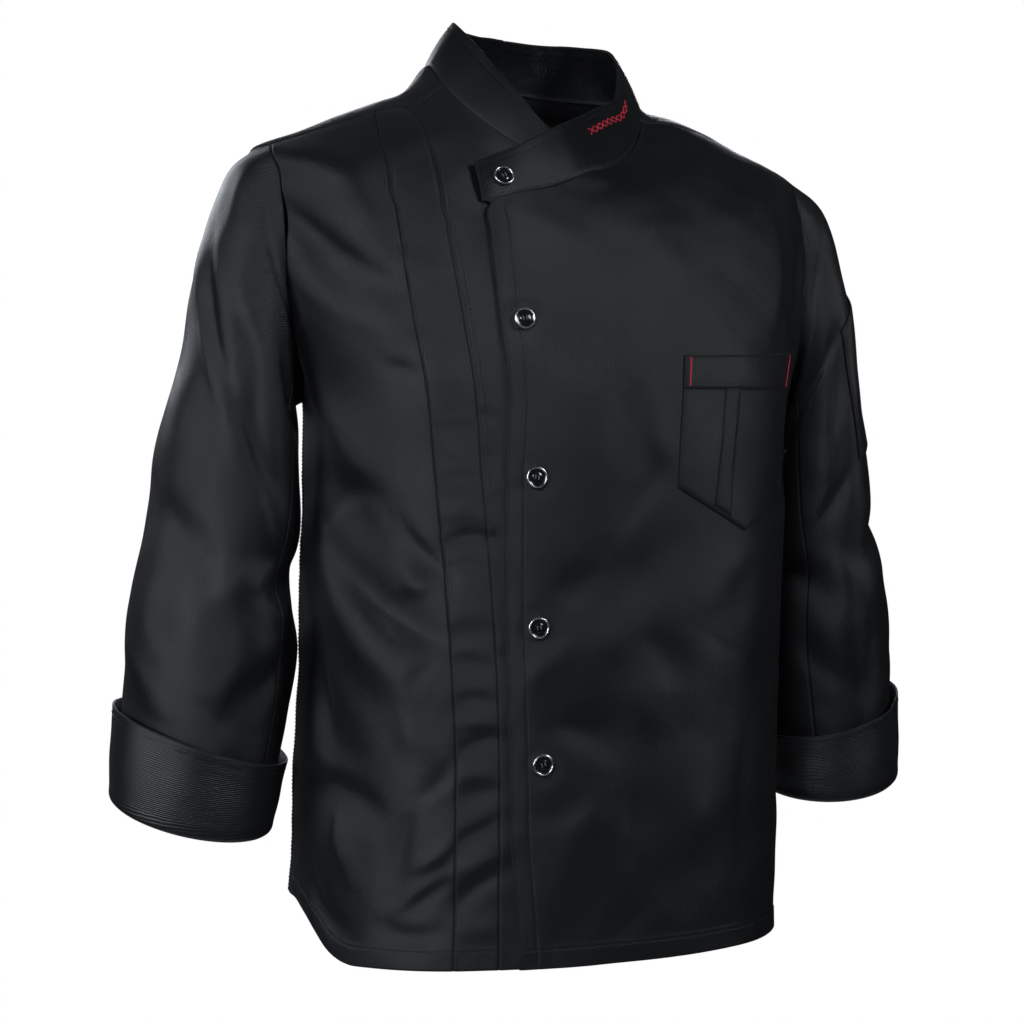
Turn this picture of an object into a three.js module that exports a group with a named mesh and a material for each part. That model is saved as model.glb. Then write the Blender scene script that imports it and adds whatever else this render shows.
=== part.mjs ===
// A chef's jacket in its worn form, hollow and open at the neck, hem and cuffs.
// Millimetres, +Z up. The origin is the middle of the neck, level with the side neck points.
// +X is the wearer's left and -Y is the front.
import * as THREE from "three";

// Driving sizes
const CLOTH = 2.0; // wall of one cloth
const SEAM_GAP = 0.3; // between pieces that are sewn edge to edge
const SHOULDER_GAP = 0.8; // the same, where the two edges are divided differently
const SLEEVE_START_GAP = 1.3; // along the sleeve's seams near the armhole, where they bend
const OVERLAP_LIFT = 3.2; // how far the left front stands out over the right front
const PATCH_CLOTH = 1.4; // wall of a patch pocket
const REST_GAP = 0.3; // between a panel and what lies on it
const UNDERARM_LEVEL = 0.575;
const SHOULDER_LEVEL = 0.9;
const BUTTON_DIAMETER = 16.5;
const BUTTON_CLEARANCE = 0.5; // the panels bend a little under a button's flat back
const CUFF_HEIGHT = 58;
const CUFF_HIGHER = 8; // how much higher the cuff stands on the arm's outer side than on its front
const CUFF_STAND_OFF = 6.5; // from the sleeve's wall to the turned-back wall

const DEGREE = Math.PI / 180;
const LEFT = 1;
const RIGHT = -1;

// The body's rings from hem (level 0) to neck seam (level 1).
// front_y and back_y are the ring's foremost and rearmost points, side_z, front_z and back_z its heights,
// square and back_square are the roundness exponents of its two halves, and dip is how its height falls
// between side and front.
const BODY = table(
  "level half_width mid_x front_y mid_y back_y side_z front_z back_z square back_square dip",
  [
    [0.0, 205, -10, -158, -12, 104, -694, -694, -690, 2.35, 2.35, 2.0],
    [0.15, 204, -9, -160, -14, 103, -590, -590, -590, 2.35, 2.35, 2.0],
    [0.35, 204, -5, -161, -18, 101, -430, -430, -430, 2.35, 2.35, 2.0],
    [0.5, 205, -2, -159, -20, 100, -312, -312, -308, 2.35, 2.3, 2.0],
    [0.575, 207, 0, -156, -18, 101, -258, -262, -250, 2.35, 2.25, 2.0],
    [0.68, 229, -1, -150, -12, 104, -190, -212, -186, 2.2, 2.1, 2.0],
    [0.78, 243, -2, -142, -4, 108, -128, -170, -124, 2.1, 1.95, 2.0],
    [0.86, 244, -3, -134, 6, 108, -78, -140, -76, 2.0, 1.75, 2.0],
    [0.9, 237, -3, -128, 12, 106, -56, -124, -48, 2.0, 1.62, 2.0],
    [0.925, 203, -1, -123, 13, 104, -41, -114, -32, 2.0, 1.64, 1.8],
    [0.95, 170, 0, -117, 13, 100, -27, -103, -18, 2.0, 1.72, 1.6],
    [0.97, 138, 0, -111, 12, 95, -13, -93, -6, 2.0, 1.8, 1.4],
    [0.985, 111, 0, -106, 11, 89, -4, -84, 1, 2.0, 1.9, 1.2],
    [1.0, 96, 2, -100, 10, 84, 10, -77, 16, 2.0, 2.0, 1.0],
  ],
);
const NECK_TILT = 9; // the right side of the neck seam is this much higher than its middle
const TILT_BLEND = [0.975, 1.0];
const LEFT_NECK_SQUARE = 1.35; // the left neckline is drawn across, so its ring is flatter there
const NECK_BLEND = [0.955, 1.0];
const HEM_LIFT = { angle: -105, front: 45, blend: 34, back: 60, height: 42, top: 0.3 };

// The armhole, by the way round from underarm (0 degrees) to shoulder (180 degrees).
const ARMHOLE = { underarm: 102, shoulder: 82, front: 16, back: 30 };
const NECK_ANGLE = 77; // where the shoulder seam meets the neck seam

// Seams of the right front and the edge of the left front, as angles at each level.
const FRONT_LINES = table("level strip_outer strip_inner left_edge", [
  [0.0, -35.0, -25.8, -21.2],
  [0.06, -35.0, -25.8, -21.9],
  [0.15, -35.4, -25.9, -23.8],
  [0.24, -36.1, -26.2, -24.4],
  [0.32, -37.3, -27.4, -25.6],
  [0.37, -38.5, -28.5, -25.9],
  [0.43, -40.3, -30.0, -26.4],
  [0.5, -41.8, -31.4, -26.5],
  [0.575, -43.4, -32.4, -26.2],
  [0.67, -43.4, -32.5, -24.6],
  [0.75, -42.6, -32.1, -23.8],
  [0.82, -42.6, -32.0, -24.0],
  [0.9, -43.8, -32.6, -24.1],
  [0.92, -50.0, -36.5, -24.6],
  [0.94, -61.4, -43.0, -25.0],
  [0.953, -72.0, -49.3, -25.0],
  [0.961, -79.0, -56.0, -25.0],
  [0.973, -79.0, -66.0, -25.0],
  [0.976, -79.0, -77.6, -25.0],
  [1.0, -79.0, -77.0, -25.0],
]);
const STRIP_OUTER_TOP = 0.961;
const STRIP_INNER_TOP = 0.976;
const UNDERLAP_ANGLE = 15; // the right front's own edge, under the left front

// The left front's neckline, from its corner under the collar tab to the middle front.
const LEFT_NECKLINE = table("angle level", [
  [-25.5, 0.909],
  [-21.5, 0.938],
  [-12.0, 0.975],
  [0.0, 1.0],
  [20.0, 1.0],
]);

// Broad soft folds of the body: where each lies, how it slants up to the wearer's left, and its size.
const BODY_FOLDS = table("angle height slant length width depth", [
  [-62, -150, -58, 150, 26, -5],
  [-52, -95, -60, 110, 22, 3],
  [-66, -345, -34, 150, 24, -6],
  [-70, -290, -32, 120, 22, 4],
  [-60, -430, -28, 130, 24, 3],
  [-70, -515, -40, 150, 24, -5],
  [-62, -600, 34, 130, 20, 3],
  [-44, -640, 38, 110, 16, -3],
  [8, -390, 38, 170, 26, -5],
  [-2, -445, 30, 120, 20, 3],
  [0, -515, -14, 120, 20, -4],
  [22, -585, 32, 140, 24, 3],
  [48, -480, -30, 120, 22, -4],
  [58, -300, 35, 120, 22, -3],
  [70, -610, -48, 130, 24, 3],
  [60, -150, 58, 130, 24, -4],
  [128, -330, 52, 170, 26, -5],
  [140, -250, 50, 150, 24, 4],
  [150, -470, 30, 190, 28, -6],
  [178, -395, 4, 200, 26, -4],
  [205, -480, -28, 190, 26, -5],
  [226, -300, -55, 170, 26, -6],
  [214, -235, -50, 140, 22, 4],
  [165, -600, -14, 170, 24, 4],
  [200, -590, 22, 150, 24, -4],
  [182, -110, 0, 230, 24, 3],
]);
const RING_MM_PER_DEGREE = 3.9;

// The sleeve's sections for the wearer's left arm: centre, half sizes, how far the section is turned from
// upright to level, how far its front hangs lower than its back, and how much further the left one bulges.
const SLEEVE = table("along x y z half_up half_y turn lean left_bulge", [
  [0.09, 241, 13, -174, 97, 60, 14, 0, 11],
  [0.2, 251, 15, -221, 80, 67, 28, 0, 8],
  [0.32, 256, 18, -270, 65, 71, 44, 0, 1],
  [0.45, 264, 19, -328, 65, 72, 58, 0, 0],
  [0.58, 273, 19, -387, 60, 69, 69, 2, 0],
  [0.68, 276, 19, -442, 67, 71, 79, 6, 0],
  [0.78, 281, 19, -490, 64, 68, 80, 10, 0],
  [0.88, 287, 19, -530, 62, 65, 80, 13, 0],
  [1.0, 293, 20, -578, 58, 61, 81, 14, 0],
]);
const SLEEVE_FOLDS = table("round along slant length width depth", [
  [58, 0.3, 80, 150, 20, 4],
  [84, 0.34, 76, 140, 16, -5],
  [120, 0.2, 50, 90, 14, -4],
  [40, 0.56, 20, 90, 13, -4],
  [90, 0.6, -24, 100, 13, 3],
  [140, 0.57, -30, 90, 12, -5],
  [300, 0.55, 22, 110, 14, -4],
  [250, 0.6, 30, 100, 13, 3],
  [330, 0.28, -68, 140, 18, -4],
  [280, 0.3, -60, 130, 17, 3],
  [110, 0.74, -38, 90, 12, -3],
  [20, 0.76, 30, 100, 13, 3],
  [220, 0.72, -20, 100, 13, -4],
]);
const SLEEVE_MM_PER_DEGREE = 1.2;
const SLEEVE_LENGTH = 440;
const SLEEVE_END_LENGTH = 400; // millimetres for a whole unit of along, near the sleeve's end
const SLEEVE_SEAM_FRONT = 126;
const SLEEVE_SEAM_BACK = 234;

// The collar's top edge over each angle of the neck seam.
const COLLAR_LEFT = table("angle x y z", [
  [180, -3.5, 64, 56],
  [150, 30, 60, 54],
  [120, 59, 40, 51],
  [90, 71, 6, 41],
  [60, 64, -19, 10],
  [45, 54, -31, -6],
  [30, 36, -43, -14],
  [15, 14, -60, -24],
  [0, -9, -76, -34],
  [-12, -28, -91, -42],
  [-20, -64, -99, -60],
  [-25.5, -98, -95, -74],
]);
const COLLAR_RIGHT = table("angle x y z", [
  [-180, -4.5, 64, 56.5],
  [-150, -34, 58, 57],
  [-120, -58, 40, 57],
  [-95, -70, 14, 56],
  [-75, -66, -19, 34],
  [-60, -58, -40, 13],
  [-45, -49, -59, -7],
  [-33, -38, -71, -27],
  [-15, -24, -79, -43],
]);

// Patch pocket on the left front, by the body's angles and levels.
const POCKET = {
  left: 14.4,
  right: 52.5,
  slant: 0.9, // how much further to the middle its bottom lies
  top: 0.648,
  band: 0.596,
  corner: 0.478,
  point: 0.434,
  pleat: [25.6, 30.0],
  pleatSlant: 2.2,
  pleatBottom: [0.45, 0.46],
};
const BAND_CLOTH = 2.0;
const BAND_GAP_LEVEL = 0.0008; // between the pocket and its band
const SLEEVE_POCKET = { front: 66, back: 2, top: 0.2, bottom: 0.43 };
const SLEEVE_POCKET_LIFT = 0.8; // the sleeve bends between its nodes, so the pocket stands a little further off
const NECK_LABEL = { from: 166, to: 188, top: 0.985, bottom: 0.952, inset: 3.4, cloth: 1.0 };

// Buttons, from the collar tab down.
const BUTTONS = table("angle level", [
  [-19.2, 0.703],
  [-20.0, 0.488],
  [-19.1, 0.344],
  [-17.4, 0.216],
]);

// How many parts each stretch is divided into
const LOWER_ROWS = 18;
const ARMHOLE_ROWS = 10;
const SHOULDER_ROWS = 5;
const SIDE_COLUMNS = 8;
const STRIP_COLUMNS = 2;
const INNER_COLUMNS = 6;
const LEFT_COLUMNS = 16;
const BACK_COLUMNS = 18;
const SLEEVE_ROWS = 17;
const SLEEVE_START_ROWS = 6;
const COLLAR_ROWS = 3;
const CUFF_COLUMNS = 28;

function table(columns, rows) {
  const names = columns.split(" ");
  return Object.fromEntries(names.map((name, i) => [name, rows.map((row) => row[i])]));
}

function clamp01(t) {
  return Math.min(1, Math.max(0, t));
}

function smooth(x, from, to) {
  const t = clamp01((x - from) / (to - from));
  return t * t * (3 - 2 * t);
}

function mix(a, b, t) {
  return a + (b - a) * t;
}

// Cubic through the rows of a table, with slopes from each row's neighbours.
function spline(xs, ys, x) {
  const last = xs.length - 1;
  let k = 0;
  while (k < last - 1 && x >= xs[k + 1]) k++;
  const chord = (i) => (ys[i + 1] - ys[i]) / (xs[i + 1] - xs[i]);
  const slope = (i) => {
    if (i === 0) return chord(0);
    if (i === last) return chord(last - 1);
    const before = xs[i] - xs[i - 1];
    const after = xs[i + 1] - xs[i];
    return (chord(i - 1) * after + chord(i) * before) / (before + after);
  };
  const span = xs[k + 1] - xs[k];
  const t = clamp01((x - xs[k]) / span);
  const t2 = t * t;
  const t3 = t2 * t;
  return (
    (2 * t3 - 3 * t2 + 1) * ys[k] +
    (t3 - 2 * t2 + t) * span * slope(k) +
    (3 * t2 - 2 * t3) * ys[k + 1] +
    (t3 - t2) * span * slope(k + 1)
  );
}

function row(rows, key, x) {
  const found = {};
  for (const name in rows) if (name !== key) found[name] = spline(rows[key], rows[name], x);
  return found;
}

// Straight lines between the rows, for seams that bend sharply.
function straight(xs, ys, x) {
  let k = 0;
  while (k < xs.length - 2 && x >= xs[k + 1]) k++;
  return mix(ys[k], ys[k + 1], clamp01((x - xs[k]) / (xs[k + 1] - xs[k])));
}

function wrap(angle) {
  return ((((angle + 180) % 360) + 360) % 360) - 180;
}

// The hem is hitched up towards the right side.
function hemLift(angle, level) {
  const from = wrap(angle - HEM_LIFT.angle);
  const rise =
    from > 0
      ? smooth(HEM_LIFT.front - from, 0, HEM_LIFT.blend)
      : smooth(HEM_LIFT.back + from, 0, HEM_LIFT.back);
  return HEM_LIFT.height * rise * (1 - smooth(level, 0, HEM_LIFT.top));
}

// The body's smooth form. Angle 0 is the middle front, 90 the wearer's left side, 180 the middle back.
function form(angle, level) {
  const ring = row(BODY, "level", level);
  const s = Math.sin(angle * DEGREE);
  const c = Math.cos(angle * DEGREE);
  const neck = smooth(level, ...NECK_BLEND);
  const tilt = NECK_TILT * smooth(level, ...TILT_BLEND);
  const front = s > 0 ? mix(ring.square, LEFT_NECK_SQUARE, neck) : ring.square;
  const square = c > 0 ? front : ring.back_square;
  const reach = (Math.abs(s) ** square + Math.abs(c) ** square) ** (-1 / square);
  const depth = c > 0 ? ring.mid_y - ring.front_y : ring.back_y - ring.mid_y;
  const end_z = c > 0 ? ring.front_z : ring.back_z;
  const drop = (end_z - ring.side_z) * (Math.abs(c) * reach) ** ring.dip;
  return new THREE.Vector3(
    ring.mid_x + ring.half_width * s * reach,
    ring.mid_y - depth * c * reach,
    ring.side_z + drop + hemLift(angle, level) - tilt * s,
  );
}

// The outward unit normal of a surface of two parameters; facing is -1 where the parameters turn the other way.
function normalOf(surface, u, v, du, dv, vMin, vMax, facing = 1) {
  const across = surface(u + du, v).sub(surface(u - du, v));
  const along = surface(u, Math.min(vMax, v + dv)).sub(surface(u, Math.max(vMin, v - dv)));
  return across.cross(along).normalize().multiplyScalar(facing);
}

function formNormal(angle, level) {
  return normalOf(form, angle, level, 0.4, 0.002, 0, 1);
}

// Soft troughs and ridges, each a bell across its line that fades towards both its ends.
function relief(folds, x, y, xs, ys) {
  let height = 0;
  for (let i = 0; i < folds.depth.length; i++) {
    const dx = x(xs[i]);
    const dy = y - ys[i];
    const turn = folds.slant[i] * DEGREE;
    const along = dx * Math.cos(turn) + dy * Math.sin(turn);
    const across = dy * Math.cos(turn) - dx * Math.sin(turn);
    const fade = Math.exp(-((along / (folds.length[i] / 2)) ** 2) * 1.6);
    height += folds.depth[i] * fade * Math.exp(-((across / folds.width[i]) ** 2));
  }
  return height;
}

function bodySurface(angle, level) {
  const p = form(angle, level);
  const from = (foldAngle) => wrap(angle - foldAngle) * RING_MM_PER_DEGREE;
  const height = relief(BODY_FOLDS, from, p.z, BODY_FOLDS.angle, BODY_FOLDS.height);
  return p.addScaledVector(formNormal(angle, level), height);
}

function bodyNormal(angle, level) {
  return normalOf(bodySurface, angle, level, 0.4, 0.002, 0, 1);
}

// How far the left front lies out from the form: over the right front's underlap it stands proud.
function lift(angle) {
  return OVERLAP_LIFT * (1 - smooth(wrap(angle), 22, 60));
}

// The armhole's edge at a way round, in the body's angle and level. The front half and the back half meet
// at the underarm and at the shoulder.
function armhole(round, side, front) {
  const turn = round * DEGREE;
  const centre = mix(ARMHOLE.shoulder, ARMHOLE.underarm, (1 + Math.cos(turn)) / 2);
  const half = (front ? -ARMHOLE.front : ARMHOLE.back) * Math.sin(turn);
  const level = mix(UNDERARM_LEVEL, SHOULDER_LEVEL, (1 - Math.cos(turn)) / 2);
  return { angle: side * (centre + half), level };
}

// Sleeve angle 0 is the shoulder or outer side, 90 the front, 180 the underarm, 270 the back.
function armholeOfSleeve(sleeveAngle, side) {
  const a = ((sleeveAngle % 360) + 360) % 360;
  return a <= 180 ? armhole(180 - a, side, true) : armhole(a - 180, side, false);
}

function sleeveSection(k, sleeveAngle, side) {
  const turn = SLEEVE.turn[k] * DEGREE;
  const lean = SLEEVE.lean[k] * DEGREE;
  const out = SLEEVE.half_up[k] * Math.cos(sleeveAngle * DEGREE);
  const front = SLEEVE.half_y[k] * Math.sin(sleeveAngle * DEGREE);
  const bulge = side === LEFT ? SLEEVE.left_bulge[k] * Math.max(0, Math.cos(sleeveAngle * DEGREE)) ** 2 : 0;
  return new THREE.Vector3(
    side * (SLEEVE.x[k] + out * Math.sin(turn) + bulge),
    SLEEVE.y[k] - front * Math.cos(lean),
    SLEEVE.z[k] + out * Math.cos(turn) - front * Math.sin(lean),
  );
}

// The sleeve's smooth form, a cubic from the armhole's edge through the sections.
function sleeveForm(sleeveAngle, along, side) {
  const edge = armholeOfSleeve(sleeveAngle, side);
  const points = [bodySurface(edge.angle, edge.level)];
  SLEEVE.along.forEach((_, k) => points.push(sleeveSection(k, sleeveAngle, side)));
  const stops = [0, ...SLEEVE.along];
  return new THREE.Vector3(
    ...["x", "y", "z"].map((axis) =>
      spline(
        stops,
        points.map((p) => p[axis]),
        along,
      ),
    ),
  );
}

function sleeveSurface(sleeveAngle, along, side) {
  const here = (a, t) => sleeveForm(a, t, side);
  const p = here(sleeveAngle, along);
  const from = (foldAngle) => wrap(sleeveAngle - foldAngle) * SLEEVE_MM_PER_DEGREE;
  const down = SLEEVE_FOLDS.along.map((t) => t * SLEEVE_LENGTH);
  const fade = smooth(along, 0, 0.1) * (1 - smooth(along, 0.8, 0.88));
  const height = fade * relief(SLEEVE_FOLDS, from, along * SLEEVE_LENGTH, SLEEVE_FOLDS.round, down);
  return p.addScaledVector(normalOf(here, sleeveAngle, along, 1.5, 0.01, 0, 1, side), height);
}

function sleeveNormal(sleeveAngle, along, side) {
  return normalOf((a, t) => sleeveSurface(a, t, side), sleeveAngle, along, 1.5, 0.01, 0, 1, side);
}

// Where two cloths meet at an angle, both end on one plane: the shared direction of their edge faces.
function mitre(a, b) {
  const shared = a.clone().add(b).normalize();
  return shared.multiplyScalar(1 / Math.max(0.7, shared.dot(a)));
}

function armholeMitre(sleeveAngle, side) {
  const edge = armholeOfSleeve(sleeveAngle, side);
  return mitre(bodyNormal(edge.angle, edge.level), sleeveNormal(sleeveAngle, 0.02, side));
}

// A closed wall of cloth on a grid of nodes. Each node has its middle point and the direction of its
// thickness. Round walls join their last column to their first.
function wall(nodes, thickness, isRound = false) {
  const rows = nodes.length;
  const columns = nodes[0].length;
  const positions = [];
  for (const half of [0.5, -0.5])
    for (const line of nodes)
      for (const node of line) {
        const p = node.point.clone().addScaledVector(node.normal, half * thickness);
        positions.push(p.x, p.y, p.z);
      }
  const outer = (i, j) => j * columns + (i % columns);
  const inner = (i, j) => rows * columns + outer(i, j);
  const index = [];
  const quad = (a, b, c, d) => index.push(a, b, c, a, c, d);
  const spans = isRound ? columns : columns - 1;
  for (let j = 0; j < rows - 1; j++)
    for (let i = 0; i < spans; i++) {
      quad(outer(i, j), outer(i + 1, j), outer(i + 1, j + 1), outer(i, j + 1));
      quad(inner(i, j), inner(i, j + 1), inner(i + 1, j + 1), inner(i + 1, j));
    }
  for (let i = 0; i < spans; i++) {
    quad(inner(i, 0), inner(i + 1, 0), outer(i + 1, 0), outer(i, 0));
    quad(outer(i, rows - 1), outer(i + 1, rows - 1), inner(i + 1, rows - 1), inner(i, rows - 1));
  }
  if (!isRound)
    for (let j = 0; j < rows - 1; j++) {
      quad(outer(0, j), outer(0, j + 1), inner(0, j + 1), inner(0, j));
      quad(inner(spans, j), inner(spans, j + 1), outer(spans, j + 1), outer(spans, j));
    }
  return closedGeometry(positions, index);
}

// Turns the faces round where the solid would be inside out.
function closedGeometry(positions, index) {
  let volume = 0;
  const at = (k) => new THREE.Vector3().fromArray(positions, index[k] * 3);
  for (let k = 0; k < index.length; k += 3) volume += at(k).dot(at(k + 1).cross(at(k + 2)));
  if (volume < 0)
    for (let k = 0; k < index.length; k += 3) [index[k + 1], index[k + 2]] = [index[k + 2], index[k + 1]];
  const geometry = new THREE.BufferGeometry();
  geometry.setAttribute("position", new THREE.Float32BufferAttribute(positions, 3));
  geometry.setIndex(index);
  geometry.computeVertexNormals();
  return geometry;
}

// Moves the ends of a line of nodes inwards along the line, which leaves the seam's gap.
function trimLine(line, atStart, atEnd) {
  const count = line.length;
  const move = (node, next, distance) => {
    const way = next.clone().sub(node.point).normalize();
    node.point.addScaledVector(way, distance);
  };
  if (atStart) move(line[0], line[1].point.clone(), atStart);
  if (atEnd) move(line[count - 1], line[count - 2].point.clone(), atEnd);
}

function trimGrid(nodes, { start = SEAM_GAP / 2, end = SEAM_GAP / 2, bottom = 0, top = SEAM_GAP / 2 }) {
  const columns = nodes[0].map((_, i) => nodes.map((line) => line[i]));
  for (const column of columns) trimLine(column, bottom, top);
  nodes.forEach((line, j) => {
    const at = (size) => (typeof size === "function" ? size(j) : size);
    trimLine(line, at(start), at(end));
  });
  return nodes;
}

const lowerLevels = Array.from({ length: LOWER_ROWS }, (_, j) => (UNDERARM_LEVEL * j) / LOWER_ROWS);
const armholeRounds = Array.from({ length: ARMHOLE_ROWS + 1 }, (_, j) => (180 * j) / ARMHOLE_ROWS);
const ARMHOLE_START = LOWER_ROWS;
const ARMHOLE_END = LOWER_ROWS + ARMHOLE_ROWS;

function shoulderAngle(level) {
  return mix(ARMHOLE.shoulder, NECK_ANGLE, (level - SHOULDER_LEVEL) / (1 - SHOULDER_LEVEL));
}

// One edge of a panel as angle and level for each row. The part above the underarm climbs to topLevel.
function seamLine(name, topLevel) {
  const levels = [...lowerLevels];
  for (const round of armholeRounds) {
    const share = (1 - Math.cos(round * DEGREE)) / 2;
    levels.push(mix(UNDERARM_LEVEL, topLevel, share));
  }
  return levels.map((level) => ({ level, angle: straight(FRONT_LINES.level, FRONT_LINES[name], level) }));
}

// The panel's edge at the side seam, the armhole and, where it reaches the neck, the shoulder seam.
function sideLine(side, front, toNeck) {
  const line = lowerLevels.map((level) => ({ level, angle: side * ARMHOLE.underarm }));
  for (const round of armholeRounds) {
    const edge = armhole(round, side, front);
    line.push({ ...edge, round });
  }
  if (toNeck)
    for (let k = 1; k <= SHOULDER_ROWS; k++) {
      const level = mix(SHOULDER_LEVEL, 1, k / SHOULDER_ROWS);
      line.push({ level, angle: side * shoulderAngle(level) });
    }
  return line;
}

// Nodes of a body panel between two edge lines. bend may change a node's level; out is how far the cloth
// lies from the form.
function panelNodes(from, to, columns, { bend = null, out = () => 0 } = {}) {
  return from.map((start, j) => {
    const end = to[j];
    const line = [];
    for (let i = 0; i <= columns; i++) {
      const t = i / columns;
      const angle = mix(start.angle, end.angle, t);
      let level = mix(start.level, end.level, t);
      if (bend) level = bend(angle, level, j);
      const normal = bodyNormal(angle, level);
      const point = bodySurface(angle, level).addScaledVector(normal, out(angle));
      line.push({ point, normal, angle, level });
    }
    return line;
  });
}

// Gives the nodes on the armhole the shared direction that the sleeve's edge has too.
function mitreArmhole(nodes, line, columnIndex, side, front) {
  line.forEach((edge, j) => {
    if (edge.round === undefined) return;
    const sleeveAngle = front ? 180 - edge.round : 180 + edge.round;
    nodes[j][columnIndex].normal = armholeMitre(sleeveAngle, side);
  });
}

function neckMitre(node, top) {
  const up = top.clone().sub(node.point).normalize();
  const round = new THREE.Vector3().crossVectors(node.normal, up).normalize();
  const collarNormal = new THREE.Vector3().crossVectors(up, round).normalize();
  if (collarNormal.dot(node.normal) < 0) collarNormal.negate();
  return mitre(node.normal, collarNormal);
}

function collarTop(rows, angle) {
  const order = rows.angle[0] > rows.angle[1] ? -1 : 1;
  const xs = rows.angle.map((a) => order * a);
  return new THREE.Vector3(...["x", "y", "z"].map((axis) => spline(xs, rows[axis], order * angle)));
}

function backPiece() {
  const from = sideLine(LEFT, false, true);
  const to = sideLine(RIGHT, false, true).map((edge) => ({ ...edge, angle: edge.angle + 360 }));
  const nodes = panelNodes(from, to, BACK_COLUMNS);
  mitreArmhole(nodes, from, 0, LEFT, false);
  mitreArmhole(nodes, to, BACK_COLUMNS, RIGHT, false);
  for (const node of nodes[nodes.length - 1]) {
    const top = node.angle <= 180 ? collarTop(COLLAR_LEFT, node.angle) : collarTop(COLLAR_RIGHT, node.angle - 360);
    node.normal = neckMitre(node, top);
  }
  const neckLine = nodes[nodes.length - 1].map((node) => ({ ...node, point: node.point.clone() }));
  const gap = (j) => (j > ARMHOLE_END ? SHOULDER_GAP / 2 : SEAM_GAP / 2);
  trimGrid(nodes, { start: gap, end: gap });
  return { geometry: wall(nodes, CLOTH), neckLine };
}

function rightFrontPieces() {
  const side = sideLine(RIGHT, true, false);
  const outerSeam = seamLine("strip_outer", STRIP_OUTER_TOP);
  const innerSeam = seamLine("strip_inner", STRIP_INNER_TOP);

  const sideNodes = panelNodes(side, outerSeam, SIDE_COLUMNS);
  mitreArmhole(sideNodes, side, 0, RIGHT, true);
  trimGrid(sideNodes, { top: SHOULDER_GAP / 2 });

  const stripNodes = panelNodes(outerSeam, innerSeam, STRIP_COLUMNS);
  trimGrid(stripNodes, { top: SHOULDER_GAP / 2 });

  const neckRows = [0.35, 0.7, 1].map((t) => mix(STRIP_INNER_TOP, 1, t));
  const inner = [...innerSeam, ...neckRows.map((level) => ({ level, angle: -shoulderAngle(level) }))];
  const edge = inner.map((start, j) => {
    const share = j / (inner.length - 1);
    const level = j < ARMHOLE_START ? start.level : mix(start.level, 1, smooth(share, 0.6, 1));
    return { level, angle: UNDERLAP_ANGLE };
  });
  const innerNodes = panelNodes(inner, edge, INNER_COLUMNS);
  const last = innerNodes[innerNodes.length - 1];
  for (const node of last)
    if (node.angle < COLLAR_RIGHT.angle.at(-1) + 1) node.normal = neckMitre(node, collarTop(COLLAR_RIGHT, node.angle));
  const neckLine = last.map((node) => ({ ...node, point: node.point.clone() }));
  trimGrid(innerNodes, { start: (j) => (j > ARMHOLE_END ? SHOULDER_GAP / 2 : SEAM_GAP / 2) });
  return {
    side: wall(sideNodes, CLOTH),
    strip: wall(stripNodes, CLOTH),
    inner: wall(innerNodes, CLOTH),
    neckLine,
  };
}

function leftNecklineLevel(angle) {
  return straight(LEFT_NECKLINE.angle, LEFT_NECKLINE.level, angle);
}

function leftFrontPiece() {
  const to = sideLine(LEFT, true, true);
  const from = to.map((end) => {
    const share = (end.level - UNDERARM_LEVEL) / (1 - UNDERARM_LEVEL);
    const level = share > 0 ? mix(UNDERARM_LEVEL, LEFT_NECKLINE.level[0], share) : end.level;
    return { level, angle: straight(FRONT_LINES.level, FRONT_LINES.left_edge, level) };
  });
  from[from.length - 1].angle = LEFT_NECKLINE.angle[0];
  // Each row keeps its share of the way from the underarm to the neckline above it.
  const bend = (angle, level, j) => {
    const share = (to[j].level - UNDERARM_LEVEL) / (1 - UNDERARM_LEVEL);
    return share > 0 ? mix(UNDERARM_LEVEL, leftNecklineLevel(angle), share) : level;
  };
  const nodes = panelNodes(from, to, LEFT_COLUMNS, { bend, out: lift });
  mitreArmhole(nodes, to, LEFT_COLUMNS, LEFT, true);
  for (const node of nodes[nodes.length - 1]) node.normal = neckMitre(node, collarTop(COLLAR_LEFT, node.angle));
  const neckLine = nodes[nodes.length - 1].map((node) => ({ ...node, point: node.point.clone() }));
  const gap = (j) => (j > ARMHOLE_END ? SHOULDER_GAP / 2 : SEAM_GAP / 2);
  trimGrid(nodes, { start: 0, end: gap });
  return { geometry: wall(nodes, CLOTH), neckLine };
}

// A stand of cloth from the neck seam up to its top edge, swelling a little between them.
function collarPiece(neckLine, rows) {
  const nodes = [];
  const tops = neckLine.map((node) => collarTop(rows, node.angle));
  const rise = (i, t) => neckLine[i].point.clone().lerp(tops[i], t);
  for (let j = 0; j <= COLLAR_ROWS; j++) {
    const t = j / COLLAR_ROWS;
    nodes.push(
      neckLine.map((base, i) => {
        const before = Math.max(0, i - 1);
        const after = Math.min(neckLine.length - 1, i + 1);
        const across = rise(after, t).sub(rise(before, t));
        const up = tops[i].clone().sub(base.point);
        const normal = across.cross(up).normalize();
        if (normal.dot(base.normal) < 0) normal.negate();
        const swell = 1.6 * Math.sin(Math.PI * t);
        const point = rise(i, t).addScaledVector(normal, swell);
        return { point, normal: j === 0 ? base.normal.clone() : normal };
      }),
    );
  }
  return nodes;
}

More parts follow.
